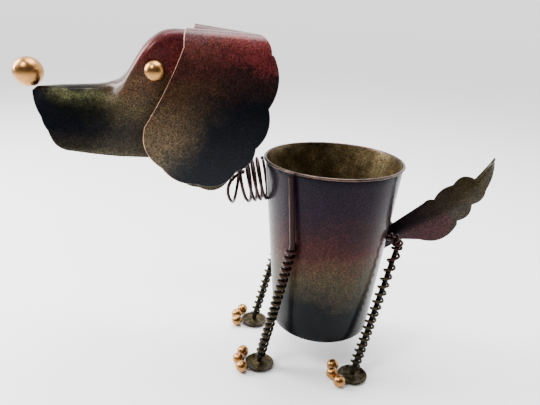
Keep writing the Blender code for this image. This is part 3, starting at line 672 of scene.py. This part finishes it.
COIL_INPUTS = {"Geometry": "Geometry", "Coil radius": "Float", "Wire radius": "Float",
               "Close share": "Float", "Close turns": "Float", "Open turns": "Float",
               "Start turn": "Float", "Full share": "Float", "End radius": "Float", "Crowding": "Float",
               "Wobble": "Float", "Points": "Int", "Sides": "Int", "Finish": "Material"}


def coil_tree():
    """A tree that winds a wire round the curve it is given: close turns first, then open ones."""
    tree = bpy.data.node_groups.new("wound wire", "GeometryNodeTree")
    for name, kind in COIL_INPUTS.items():
        tree.interface.new_socket(name, in_out="INPUT", socket_type="NodeSocket" + kind)
    tree.interface.new_socket("Geometry", in_out="OUTPUT", socket_type="NodeSocketGeometry")
    given = tree.nodes.new("NodeGroupInput").outputs
    result = tree.nodes.new("NodeGroupOutput")

    def step(kind, **inputs):
        named = {key.replace("_", " "): value for key, value in inputs.items()}
        return add_node(tree, "GeometryNode" + kind, named)

    def calc(operation, *values):
        return add_node(tree, "ShaderNodeMath", dict(enumerate(values)), operation=operation)

    def times(one, two):
        return calc("MULTIPLY", one, two)

    def less(one, two):
        return calc("SUBTRACT", one, two)

    def vector(operation, *values):
        return add_node(tree, "ShaderNodeVectorMath", dict(enumerate(values)), operation=operation)

    def scaled(way, factor):
        return add_node(tree, "ShaderNodeVectorMath", {0: way, "Scale": factor}, operation="SCALE")

    line = step("ResampleCurve", Curve=given["Geometry"], Count=given["Points"])
    share = step("SplineParameter")
    first = given["Close share"]
    close = times(calc("MINIMUM", calc("DIVIDE", share, first), 1.0), given["Close turns"])
    rest = calc("DIVIDE", less(share, first), less(1.0, first))
    opened = times(calc("POWER", calc("MAXIMUM", rest, 0.0), given["Crowding"]), given["Open turns"])
    turns = calc("ADD", calc("ADD", close, opened), given["Start turn"])
    angle = times(turns, 2 * math.pi)
    tangent = step("InputTangent")
    up = vector("NORMALIZE", vector("CROSS_PRODUCT", (0, 1, 0), tangent))
    across = vector("CROSS_PRODUCT", tangent, up)
    spoke = vector("ADD", scaled(across, calc("COSINE", angle)), scaled(up, times(calc("SINE", angle), -1.0)))
    uneven = add_node(tree, "ShaderNodeTexNoise", {"W": times(turns, 0.9)}, noise_dimensions="1D")
    swing = times(less(uneven, 0.5), given["Wobble"])
    beyond = calc("MAXIMUM", less(share, given["Full share"]), 0.0)
    shrink = times(calc("MINIMUM", times(beyond, SHRINK_SPEED), 1.0), less(1.0, given["End radius"]))
    reach = times(calc("ADD", times(swing, 4.0), 1.0), times(less(1.0, shrink), given["Coil radius"]))
    wound_line = step("SetPosition", Geometry=line, Offset=scaled(spoke, reach))
    section = step("CurvePrimitiveCircle", Resolution=given["Sides"], Radius=given["Wire radius"])
    wire = step("CurveToMesh", Curve=wound_line, Profile_Curve=section, Fill_Caps=True)
    wire = step("RealizeInstances", Geometry=step("SetShadeSmooth", Geometry=wire))
    wire = step("SetMaterial", Geometry=wire, Material=given["Finish"])
    tree.links.new(wire, result.inputs[0])
    return tree


def path_curve(name, points):
    curve = bpy.data.curves.new(name, "CURVE")
    curve.dimensions = "3D"
    spline = curve.splines.new("POLY")
    spline.points.add(len(points) - 1)
    for slot, point in zip(spline.points, points):
        slot.co = (point.x + AXIS, point.y, point.z, 1.0)
    return new_object(name, curve)


def wound(name, line, material, values):
    """A wire wound along a line, as a plain mesh."""
    tree = bpy.data.node_groups.get("wound wire") or coil_tree()
    piece = path_curve(name, line)
    modifier = piece.modifiers.new("winding", "NODES")
    modifier.node_group = tree
    idents = {item.name: item.identifier for item in tree.interface.items_tree if item.in_out == "INPUT"}
    for key, value in {**values, "Finish": material}.items():
        modifier[idents[key]] = value
    piece.data.materials.append(material)
    return baked(piece)


def rod(name, line, radius, material):
    """A smooth round rod with flat ends."""
    piece = path_curve(name, line)
    piece.data.bevel_depth = radius
    piece.data.bevel_resolution = 6
    piece.data.use_fill_caps = True
    piece.data.materials.append(material)
    piece = baked(piece)
    shape = bmesh.new()
    shape.from_mesh(piece.data)
    bmesh.ops.remove_doubles(shape, verts=shape.verts, dist=MERGE)
    shape.to_mesh(piece.data)
    shape.free()
    soften(piece.data)
    return piece


def join(piece, other):
    """Add another object's faces to a piece."""
    shape = bmesh.new()
    shape.from_mesh(piece.data)
    shape.from_mesh(other.data)
    shape.to_mesh(piece.data)
    shape.free()
    bpy.data.objects.remove(other)
    soften(piece.data)


# ---- pieces ----

def add_turned(shape, profile, steps, slots=None):
    """Turn a profile of (radius, height) points about the upright axis, with closed poles."""
    rings = []
    for radius, height in profile:
        if radius < 1e-7:
            rings.append([shape.verts.new((0, 0, height))])
        else:
            rings.append([shape.verts.new((radius * math.cos(2 * math.pi * n / steps),
                                           radius * math.sin(2 * math.pi * n / steps), height))
                          for n in range(steps)])
    for number, (here, there) in enumerate(zip(rings, rings[1:])):
        for n in range(steps):
            after = (n + 1) % steps
            if len(here) == 1:
                corners = (here[0], there[n], there[after])
            elif len(there) == 1:
                corners = (here[n], there[0], here[after])
            else:
                corners = (here[n], there[n], there[after], here[after])
            shape.faces.new(corners).material_index = slots[number] if slots else 0
    bmesh.ops.recalc_face_normals(shape, faces=shape.faces)


class DOG_OT_pot(bpy.types.Operator):
    """Build the tapered pot with its rolled rim and its two finishes"""
    bl_idname = "dog.pot"
    bl_label = "Pot"

    def execute(self, context):
        floor, fold = FLOOR_HEIGHT, BASE_FOLD
        inner = [(0.0, floor + POT_WALL), (0.012, floor + POT_WALL + 0.0001), (0.03, floor + POT_WALL)]
        for n in range(5):
            turn = math.pi / 2 * n / 4
            inner.append((BASE_RADIUS - POT_WALL - fold + fold * math.sin(turn),
                          floor + POT_WALL + fold - fold * math.cos(turn)))
        low = inner[-1][1]
        for n in range(1, 25):
            height = low + (POT_TOP - BEAD_LOOK - low) * n / 24
            inner.append((wall_radius(height) - POT_WALL, height))
        middle = WALL_TOP_RADIUS - POT_WALL + BEAD_LOOK
        bead = []
        for n in range(1, 15):
            turn = math.pi - 2 * math.pi * n / 16
            bead.append((middle + BEAD_LOOK * math.cos(turn),
                         POT_TOP - BEAD_LOOK + BEAD_LOOK * math.sin(turn)))
        seam = POT_TOP - 3 * BEAD_LOOK
        outer = []
        for n in range(33):
            height = seam + (floor + fold - seam) * n / 32
            outer.append((wall_radius(height), height))
        for n in range(1, 5):
            turn = math.pi / 2 * n / 4
            outer.append((BASE_RADIUS - fold + fold * math.cos(turn), floor + fold - fold * math.sin(turn)))
        outer += [(0.02, floor), (0.0, floor)]
        slots = [1] * (len(inner) - 1) + [2] * len(bead) + [0] * len(outer)
        shape = bmesh.new()
        add_turned(shape, inner + bead + outer, sizes().pot_steps, slots)
        finishes = [shared(pot_outside), shared(pot_inside),
                    shared(cut_metal, "rim bead", (0.085, 0.055, 0.042), (0.02, 0.012, 0.012), 91.0)]
        dress(mesh_object("pot_surface", shape, finishes), "pot")
        return {"FINISHED"}


def lower_edge(corners, count):
    points = []
    for here, there in zip(corners, corners[1:]):
        arc = swell_arc(from_rim(*here[:2]), from_rim(*there[:2]), here[3], LINE_STEPS)
        for step, point in enumerate(arc):
            points.append(Vector((point.x, here[2] + (there[2] - here[2]) * step / LINE_STEPS, point.y)))
    last = from_rim(*corners[-1][:2])
    points.append(Vector((last.x, corners[-1][2], last.y)))
    return spread(points, count)


def fold_section(drop, width, fold):
    """Points of a section through the head: a round fold, then a straight flank."""
    fold = min(fold, 0.35 * (drop ** 2 + width ** 2) / drop)
    to_edge = math.hypot(drop - fold, width)
    end_turn = math.pi - math.atan2(width, drop - fold) - math.acos(fold / to_edge)
    section = []
    for row in range(FOLD_ROWS + 1):
        turn = end_turn * row / FOLD_ROWS
        section.append((fold - fold * math.cos(turn), fold * math.sin(turn)))
    start = section[-1]
    for row in range(1, FLANK_ROWS + 1):
        share = row / FLANK_ROWS
        section.append((start[0] + (drop - start[0]) * share, start[1] + (width - start[1]) * share))
    return section


def head_columns(lip, jaw):
    ridge = smooth_line([from_rim(x, z) for x, z in RIDGE])
    chin = RIDGE_FRONT * LINE_STEPS
    tops = spread(ridge[:chin + 1], lip) + spread(ridge[chin:], jaw)[1:]
    edges = lower_edge(LIP, lip) + lower_edge(JAW, jaw)[1:]
    return zip(tops, edges)


def head_column(top, edge, side):
    share = (top.x - from_rim(*RIDGE[0]).x) / (from_rim(*RIDGE[-1]).x - from_rim(*RIDGE[0]).x)
    fold = MUZZLE_FOLD + (CROWN_FOLD - MUZZLE_FOLD) * share
    fold *= 1 + BROW_ROUNDING * math.exp(-((share - BROW_SHARE) / BROW_SPAN) ** 2)
    drop = top.y - edge.z
    return [Vector((top.x + (edge.x - top.x) * down / drop, side * out, top.y - down))
            for down, out in fold_section(drop, edge.y, fold)]


class DOG_OT_head(bpy.types.Operator):
    """Build the folded head sheet"""
    bl_idname = "dog.head"
    bl_label = "Head"

    def execute(self, context):
        shape = bmesh.new()
        rows = []
        for top, edge in head_columns(*HEAD_COLUMNS):
            points = head_column(top, edge, -1)[:0:-1] + head_column(top, edge, 1)
            rows.append([shape.verts.new(point) for point in points])
        fill_rows(shape, rows)
        face_out(shape, Vector((0, 0, 1)))
        border = shared(cut_metal, "cut edge", (0.16, 0.11, 0.07), (0.02, 0.014, 0.01), 93.0)
        piece = sheet_object("head_sheet", shape, shared(head_patina), border, [shared(sheet_inside)] * 2)
        dress(piece, "head")
        return {"FINISHED"}


def ear_out(depth):
    if depth < EAR_FOLD:
        return EAR_HALF_WIDTH - EAR_FOLD + math.sqrt(EAR_FOLD ** 2 - (EAR_FOLD - depth) ** 2)
    share = min((depth - EAR_FOLD) / EAR_DEPTH, 1.1)
    return EAR_HALF_WIDTH + EAR_FLARE * share - EAR_TUCK * share ** 3


def ear_top(x):
    share = (x - EAR_FRONT_TOP[0]) / (EAR_BACK_TOP[0] - EAR_FRONT_TOP[0])
    return EAR_FRONT_TOP[1] + (EAR_BACK_TOP[1] - EAR_FRONT_TOP[1]) * share


def ear_point(x, z, side):
    flat = from_rim(x, z)
    return Vector((flat.x, side * ear_out(max(ear_top(x) - z, 0.0)), flat.y))


def ear_sheet(side, stretch, turn, move):
    """One ear as an open sheet: scalloped flank, fold and the flat at the middle."""
    shape = bmesh.new()
    rim = cut_edge(EAR_EDGE, EAR_EDGE_STEPS)
    across = [0.0, 1 - EAR_BORDER] + [step / EAR_COLUMNS for step in range(1, EAR_COLUMNS + 1)]
    top_low = []
    for share in across[-2:0:-1]:
        x = rim[0].x + (rim[-1].x - rim[0].x) * share
        top_low.append(Vector((x, ear_top(x) - EAR_FOLD)))
    outline = rim + top_low
    for corner in (rim[0], rim[-1]):
        corner.y = ear_top(corner.x) - EAR_FOLD
    middle = Vector(EAR_MIDDLE)
    centre = shape.verts.new(ear_point(*middle, side))
    shares = [ring / EAR_RINGS for ring in range(1, EAR_RINGS)] + [EAR_BORDER, 1.0]
    rings = [[shape.verts.new(ear_point(*middle.lerp(point, share), side)) for point in outline]
             for share in shares]
    for number in range(len(outline)):
        after = (number + 1) % len(outline)
        shape.faces.new((centre, rings[0][number], rings[0][after]))
        for inner, outer in zip(rings, rings[1:]):
            face = shape.faces.new((inner[number], outer[number], outer[after], inner[after]))
            if outer is rings[-1] and number < len(rim) - 1:
                face.material_index = 1
    rows = [[rings[-1][0], *rings[-1][:len(rim) - 2:-1]]]
    for row in range(FOLD_ROWS - 1, -1, -1):
        angle = math.pi / 2 * row / FOLD_ROWS
        fall = 1 - math.cos(angle)
        front = EAR_FRONT_TOP[0] + (EAR_EDGE[0][0] - EAR_FRONT_TOP[0]) * fall
        back = EAR_BACK_TOP[0] + (EAR_EDGE[-1][0] - EAR_BACK_TOP[0]) * math.sin(angle)
        line = []
        for share in across:
            x = front + (back - front) * share
            line.append(shape.verts.new(ear_point(x, ear_top(x) - EAR_FOLD * fall, side)))
        rows.append(line)
    sink = RIGHT_EAR_SINK if side > 0 else (0.0, 0.0)
    rows.append([shape.verts.new((v.co.x, side * EAR_MEETING / 2,
                                  v.co.z - sink[0] - (sink[1] - sink[0]) * share))
                 for share, v in zip(across, rows[-1])])
    fill_rows(shape, rows, 1)
    corner = from_rim(*EAR_FRONT_TOP)
    for vertex in shape.verts:
        ahead = (vertex.co.x - corner.x) * stretch[0]
        up = (vertex.co.z - corner.y) * stretch[1]
        vertex.co.x = corner.x + ahead * math.cos(turn) + up * math.sin(turn) + move[0]
        vertex.co.z = corner.y - ahead * math.sin(turn) + up * math.cos(turn) + move[1]
    face_out(shape, Vector((0, side, 0)))
    return shape


class DOG_OT_ears(bpy.types.Operator):
    """Build the two bent ears with their scalloped edges"""
    bl_idname = "dog.ears"
    bl_label = "Ears"

    def execute(self, context):
        for name, side, stretch, turn, move in (
                ("ear_left", -1, (1, 1), 0.0, (0, 0)),
                ("ear_right", 1, RIGHT_EAR_STRETCH, RIGHT_EAR_TURN, RIGHT_EAR_MOVE)):
            piece = sheet_object(name + "_sheet", ear_sheet(side, stretch, turn, move), shared(ear_patina),
                                 shared(ear_edge_and_highlight), [shared(sheet_inside)] * 2)
            dress(piece, name)
        return {"FINISHED"}


def add_ball(node, radius, seed):
    """A cast ball in the place of its node: nearly round, with faint dents."""
    shape = bmesh.new()
    bmesh.ops.create_uvsphere(shape, u_segments=BALL_FACES[0], v_segments=BALL_FACES[1], radius=radius)
    for vertex in shape.verts:
        way = vertex.co.normalized()
        dent = noise.noise(way * 1.9 + Vector((seed, seed * 2, 0)))
        vertex.co = way * radius * (1.0 - DENT_DEPTH * max(dent, -1.0) - DENT_DEPTH)
    low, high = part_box(node)
    bmesh.ops.translate(shape, vec=(low + high) / 2, verts=shape.verts)
    piece = mesh_object(node + "_satin", shape, [shared(satin_gold)], move=False)
    dress(piece, node)


class DOG_OT_balls(bpy.types.Operator):
    """Build the nose and eyes as satin balls"""
    bl_idname = "dog.balls"
    bl_label = "Nose and eyes"

    def execute(self, context):
        for number, node in enumerate(("nose_ball", "eye_left", "eye_right")):
            low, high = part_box(node)
            add_ball(node, (high.z - low.z) / 2, 3.0 + number)
        return {"FINISHED"}


def on_wall(angle, side, radius, height):
    return Vector((-radius * math.cos(angle), side * radius * math.sin(angle), height))


def leg_line(place, side):
    """The middle of a leg's rod, from the pot's wall to the paw."""
    if place.startswith("front"):
        top = POT_TOP - FRONT_ROD_BELOW_RIM
        coil = (ROD + GAP + LEG_WIRE) / math.cos(math.pi / LEG_SEGMENTS)
        knee = wall_radius(FRONT_KNEE_HEIGHT) + coil + LEG_WIRE + GAP
        upper = [on_wall(FRONT_WELD_ANGLE, side, wall_radius(top) + ROD + 2 * GAP, top),
                 on_wall(FRONT_KNEE_ANGLE, side, knee, FRONT_KNEE_HEIGHT)]
    else:
        wall = wall_radius(REAR_ROD_HEIGHT)
        upper = [on_wall(REAR_ANGLE, side, wall + 2 * GAP, REAR_ROD_HEIGHT),
                 on_wall(REAR_ANGLE, side, wall + REAR_REACH, REAR_ROD_HEIGHT),
                 on_wall(REAR_ANGLE, side, wall + REAR_REACH, REAR_ROD_HEIGHT - REAR_KNEE_DROP)]
    foot = Vector((*PAWS[place], PAW_THICKNESS + GAP))
    return rounded([*upper, foot + Vector((0, 0, ANKLE_RISE)), foot], KNEE_ROUNDING)


def part_of(line, start, end):
    fine = spread(line, FINE_STEPS + 1)
    return fine[round(start * FINE_STEPS):round(end * FINE_STEPS) + 1]


class DOG_OT_legs(bpy.types.Operator):
    """Build the bent rods and the springs wound on them"""
    bl_idname = "dog.legs"
    bl_label = "Legs"

    def execute(self, context):
        s = sizes()
        for place in PAWS:
            line = leg_line(place, -1 if place.endswith("left") else 1)
            length = line_length(line)
            end = 1 - (ANKLE_RISE + 2 * LEG_WIRE) / length
            values = {"Wire radius": s.leg_wire, "Wobble": 0.08, "Full share": 1.0, "End radius": 1.0,
                      "Points": WIRE_POINTS * (s.front_turns + 2), "Sides": LEG_SIDES}
            if place.startswith("front"):
                start = ((line[1] - line[0]).length + FRONT_SPRING_DROP) / length
                half = s.front_turns * 0.5
                values |= {"Coil radius": ROD + s.leg_wire + GAP / 2, "Close share": 0.5,
                           "Close turns": half, "Open turns": half, "Crowding": 1.0}
            else:
                start = 3 * LEG_WIRE / length
                values |= {"Coil radius": ROD + s.leg_wire + REAR_LOOSENESS,
                           "Close share": REAR_TIGHT_LENGTH / ((end - start) * length),
                           "Close turns": float(s.rear_tight_turns), "Open turns": float(s.rear_turns),
                           "Crowding": REAR_CROWDING}
            piece = rod("leg_rod_%s_smooth" % place, line, ROD, shared(rod_patina))
            dress(piece, "leg_rod_" + place)
            piece = wound("leg_spring_%s_wire" % place, part_of(line, start, end), wire_finish("leg"), values)
            dress(piece, "leg_spring_" + place)
        return {"FINISHED"}


class DOG_OT_neck(bpy.types.Operator):
    """Wind the neck spring from the pot's wall into the head"""
    bl_idname = "dog.neck"
    bl_label = "Neck spring"

    def execute(self, context):
        s = sizes()
        height = POT_TOP - NECK_BELOW_RIM
        wall = wall_radius(height) + NECK_WIRE + GAP
        line = smooth_line([Vector((-(wall + ahead), 0, height + up)) for ahead, up in NECK_ROUTE])
        length = line_length(line)
        values = {"Coil radius": NECK_RADIUS, "Wire radius": s.neck_wire,
                  "Close share": NECK_CLOSE_LENGTH / length, "Close turns": s.neck_close_turns,
                  "Open turns": s.neck_open_turns, "Wobble": 0.01, "Start turn": NECK_START,
                  "Full share": NECK_FULL_LENGTH / length, "End radius": NECK_END_SHARE,
                  "Crowding": 1.0, "Points": NECK_POINTS, "Sides": NECK_SIDES}
        piece = wound("neck_spring_wire", line, wire_finish("neck"), values)
        ring = [vertex.co.copy() for vertex in piece.data.vertices[-NECK_SIDES:]]
        end = sum(ring, Vector()) / len(ring) - Vector((AXIS, 0, 0))
        foot = line[-1]
        top = Vector((foot.x, foot.y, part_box("neck_spring")[1].z - s.neck_wire))
        stem = rounded([end, foot + Vector((0, 0, 0.002)), top], STEM_ROUNDING)
        join(piece, rod("neck_stem", stem, s.neck_wire, wire_finish("neck")))
        dress(piece, "neck_spring")
        return {"FINISHED"}


class DOG_OT_paws(bpy.types.Operator):
    """Build the beaten paw discs, their weld mounds and the toe balls"""
    bl_idname = "dog.paws"
    bl_label = "Paws"

    def execute(self, context):
        for number, (place, spot) in enumerate(PAWS.items()):
            shape = bmesh.new()
            add_turned(shape, PAW_PROFILE, PAW_STEPS)
            for vertex in shape.verts:
                x, y, z = vertex.co
                if z > 0.0005:
                    beaten = 0.0003 * noise.noise(Vector((x * 260, y * 260, number * 7.0)))
                    vertex.co.z += beaten * min(math.hypot(x, y) / 0.004, 1.0) - 0.0001
                    bulge = 1.0 - 0.02 * (1 + noise.noise(Vector((x * 90, y * 90, number * 3.0))))
                    vertex.co.x *= bulge
                    vertex.co.y *= bulge
            bmesh.ops.translate(shape, vec=(*spot, 0), verts=shape.verts)
            piece = mesh_object("paw_disc_%s_beaten" % place, shape, [shared(paw_patina)])
            dress(piece, "paw_disc_" + place)
            for toe in (1, 2, 3):
                add_ball("toe_ball_%s_%d" % (place, toe), TOE, number * 5.0 + toe)
        return {"FINISHED"}


def tail_point(x, z):
    return Vector((x + wall_radius(TAIL_HEIGHT), z + TAIL_HEIGHT))


def tail_edge(corners, height):
    points = [Vector((wall_radius(height) + GAP, height))]
    for here, there in zip(corners, corners[1:]):
        points += swell_arc(tail_point(*here[:2]), tail_point(*there[:2]), here[2], 12)
    points.append(tail_point(*corners[-1][:2]))
    return spread(points, TAIL_COLUMNS)


class DOG_OT_tail(bpy.types.Operator):
    """Build the scalloped tail with its crease"""
    bl_idname = "dog.tail"
    bl_label = "Tail"

    def execute(self, context):
        lower = tail_edge(TAIL_LOWER, TAIL_HEIGHT - TAIL_BASE / 2)
        upper = tail_edge(TAIL_UPPER, TAIL_HEIGHT + TAIL_BASE / 2)
        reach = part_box("tail")[1].x - AXIS - TAIL_CLEARANCE
        for point in lower:
            point.x = min(point.x, reach)
        inner = [tail_point(x, z) for x, z in TAIL_CREASE]
        crease = spread(smooth_line([(lower[0] + upper[0]) / 2, *inner, lower[-1]]), TAIL_COLUMNS)
        shape = bmesh.new()
        rows = []
        for below, middle, over in zip(lower[:-1], crease[:-1], upper[:-1]):
            row = []
            for step in range(TAIL_ROWS + 1):
                share = 2 * step / TAIL_ROWS
                spot = below.lerp(middle, share) if share <= 1 else middle.lerp(over, share - 1)
                rise = 1 - abs(share - 1)
                lift = TAIL_CREASE_RISE * (rise - 0.12 * math.exp(-((share - 1) / 0.12) ** 2))
                row.append(shape.verts.new((spot.x, -lift, spot.y)))
            rows.append(row)
        tip = shape.verts.new((lower[-1].x, 0, lower[-1].y))
        fill_rows(shape, rows)
        for one, two in zip(rows[-1], rows[-1][1:]):
            shape.faces.new((one, two, tip))
        face_out(shape, Vector((0, -1, 0)))
        border = shared(cut_metal, "tail edge", (0.1, 0.07, 0.05), (0.012, 0.009, 0.008), 97.0)
        piece = sheet_object("tail_sheet", shape, shared(tail_patina), border, [shared(tail_patina)])
        dress(piece, "tail")
        return {"FINISHED"}


# ---- stage ----

def area_light(name, place, target, size, power):
    data = bpy.data.lights.new(name, "AREA")
    data.shape = "RECTANGLE"
    data.size, data.size_y = size
    data.energy = power
    light = new_object(name, data)
    light.location = place
    light.rotation_euler = (Vector(target) - Vector(place)).to_track_quat("-Z", "Y").to_euler()


def studio_world():
    """A white studio behind and above, darker on the side where one stands to look."""
    world = bpy.data.worlds.new("studio")
    bpy.context.scene.world = world
    world.use_nodes = True
    tree = world.node_tree
    way = add_node(tree, "ShaderNodeTexCoord", {}, "Generated")
    way = add_node(tree, "ShaderNodeSeparateXYZ", {0: way}).node.outputs
    behind = add_node(tree, "ShaderNodeMapRange", {"Value": way["Y"], "From Min": -1, "From Max": 1})
    shade = add_ramp(tree, behind, [(place, (grey,) * 3) for place, grey in STUDIO_SHADES])
    glow = add_node(tree, "ShaderNodeMapRange",
                    {"Value": way["Z"], "From Min": 0.02, "From Max": 0.4,
                     "To Min": 0.655 * STUDIO_GLOW, "To Max": STUDIO_GLOW})
    studio = tree.nodes["Background"]
    fill_inputs(studio, {"Color": shade, "Strength": glow})
    plain = add_node(tree, "ShaderNodeBackground", {"Color": (1, 1, 1, 1), "Strength": BACKDROP_GLOW})
    seen = add_node(tree, "ShaderNodeLightPath", {}, "Is Camera Ray")
    both = add_node(tree, "ShaderNodeMixShader", {0: seen, 1: studio.outputs[0], 2: plain})
    fill_inputs(tree.nodes["World Output"], {"Surface": both})


class DOG_OT_stage(bpy.types.Operator):
    """Lay the pale floor and set the lights and the camera"""
    bl_idname = "dog.stage"
    bl_label = "Stage"

    def execute(self, context):
        shape = bmesh.new()
        bmesh.ops.create_grid(shape, x_segments=1, y_segments=1, size=FLOOR_REACH)
        bmesh.ops.translate(shape, vec=(0, 0, -FLOOR_DROP), verts=shape.verts)
        n = Nodes("studio paper")
        paper = colours().paper
        colour = n.ramp(n.noise(3.0, 3, 0.5, 1.0), [(0.3, [0.985 * part for part in paper]), (0.7, paper)])
        material = n.finish(colour, 0.0, 0.35, n.noise(300, 2, 0.5, 2.0), 0.02)
        floor = mesh_object("studio_floor", shape, [material], move=False)
        studio_world()
        for light in LIGHTS:
            area_light(*light)
        camera = new_object("camera", bpy.data.cameras.new("camera"))
        camera.data.sensor_width = 36
        camera.data.lens = CAMERA_LENS
        camera.data.clip_start = 0.01
        forward = Vector((0, math.cos(CAMERA_PITCH), -math.sin(CAMERA_PITCH)))
        right = Vector((1, 0, 0))
        above = Vector((0, math.sin(CAMERA_PITCH), math.cos(CAMERA_PITCH)))
        across = math.cos(CAMERA_ROLL) * right + math.sin(CAMERA_ROLL) * above
        upward = -math.sin(CAMERA_ROLL) * right + math.cos(CAMERA_ROLL) * above
        turn = Matrix((across, upward, -forward)).transposed().to_4x4()
        camera.matrix_world = Matrix.Translation(CAMERA_PLACE) @ turn
        context.scene.camera = camera
        return {"FINISHED"}


class DOG_PT_panel(bpy.types.Panel):
    """List the dog's pieces, sizes and colours"""
    bl_label = "Dog planter"
    bl_idname = "DOG_PT_panel"
    bl_space_type = "VIEW_3D"
    bl_region_type = "UI"
    bl_category = "Dog planter"

    def draw(self, context):
        for operator in STEPS:
            self.layout.operator(operator.bl_idname)
        for group in (context.scene.dog_sizes, context.scene.dog_colours):
            for key in group.__annotations__:
                self.layout.prop(group, key)


STEPS = (DOG_OT_stage, DOG_OT_pot, DOG_OT_head, DOG_OT_ears, DOG_OT_balls, DOG_OT_neck, DOG_OT_legs,
         DOG_OT_paws, DOG_OT_tail)
CLASSES = (DogSizes, DogColours, *STEPS, DOG_PT_panel)


def register():
    for item in CLASSES:
        bpy.utils.register_class(item)
    bpy.types.Scene.dog_sizes = PointerProperty(type=DogSizes)
    bpy.types.Scene.dog_colours = PointerProperty(type=DogColours)


def unregister():
    del bpy.types.Scene.dog_colours
    del bpy.types.Scene.dog_sizes
    for item in reversed(CLASSES):
        bpy.utils.unregister_class(item)


def main():
    register()
    for operator in STEPS:
        getattr(bpy.ops.dog, operator.bl_idname.split(".")[1])()


if __name__ == "__main__":
    main()
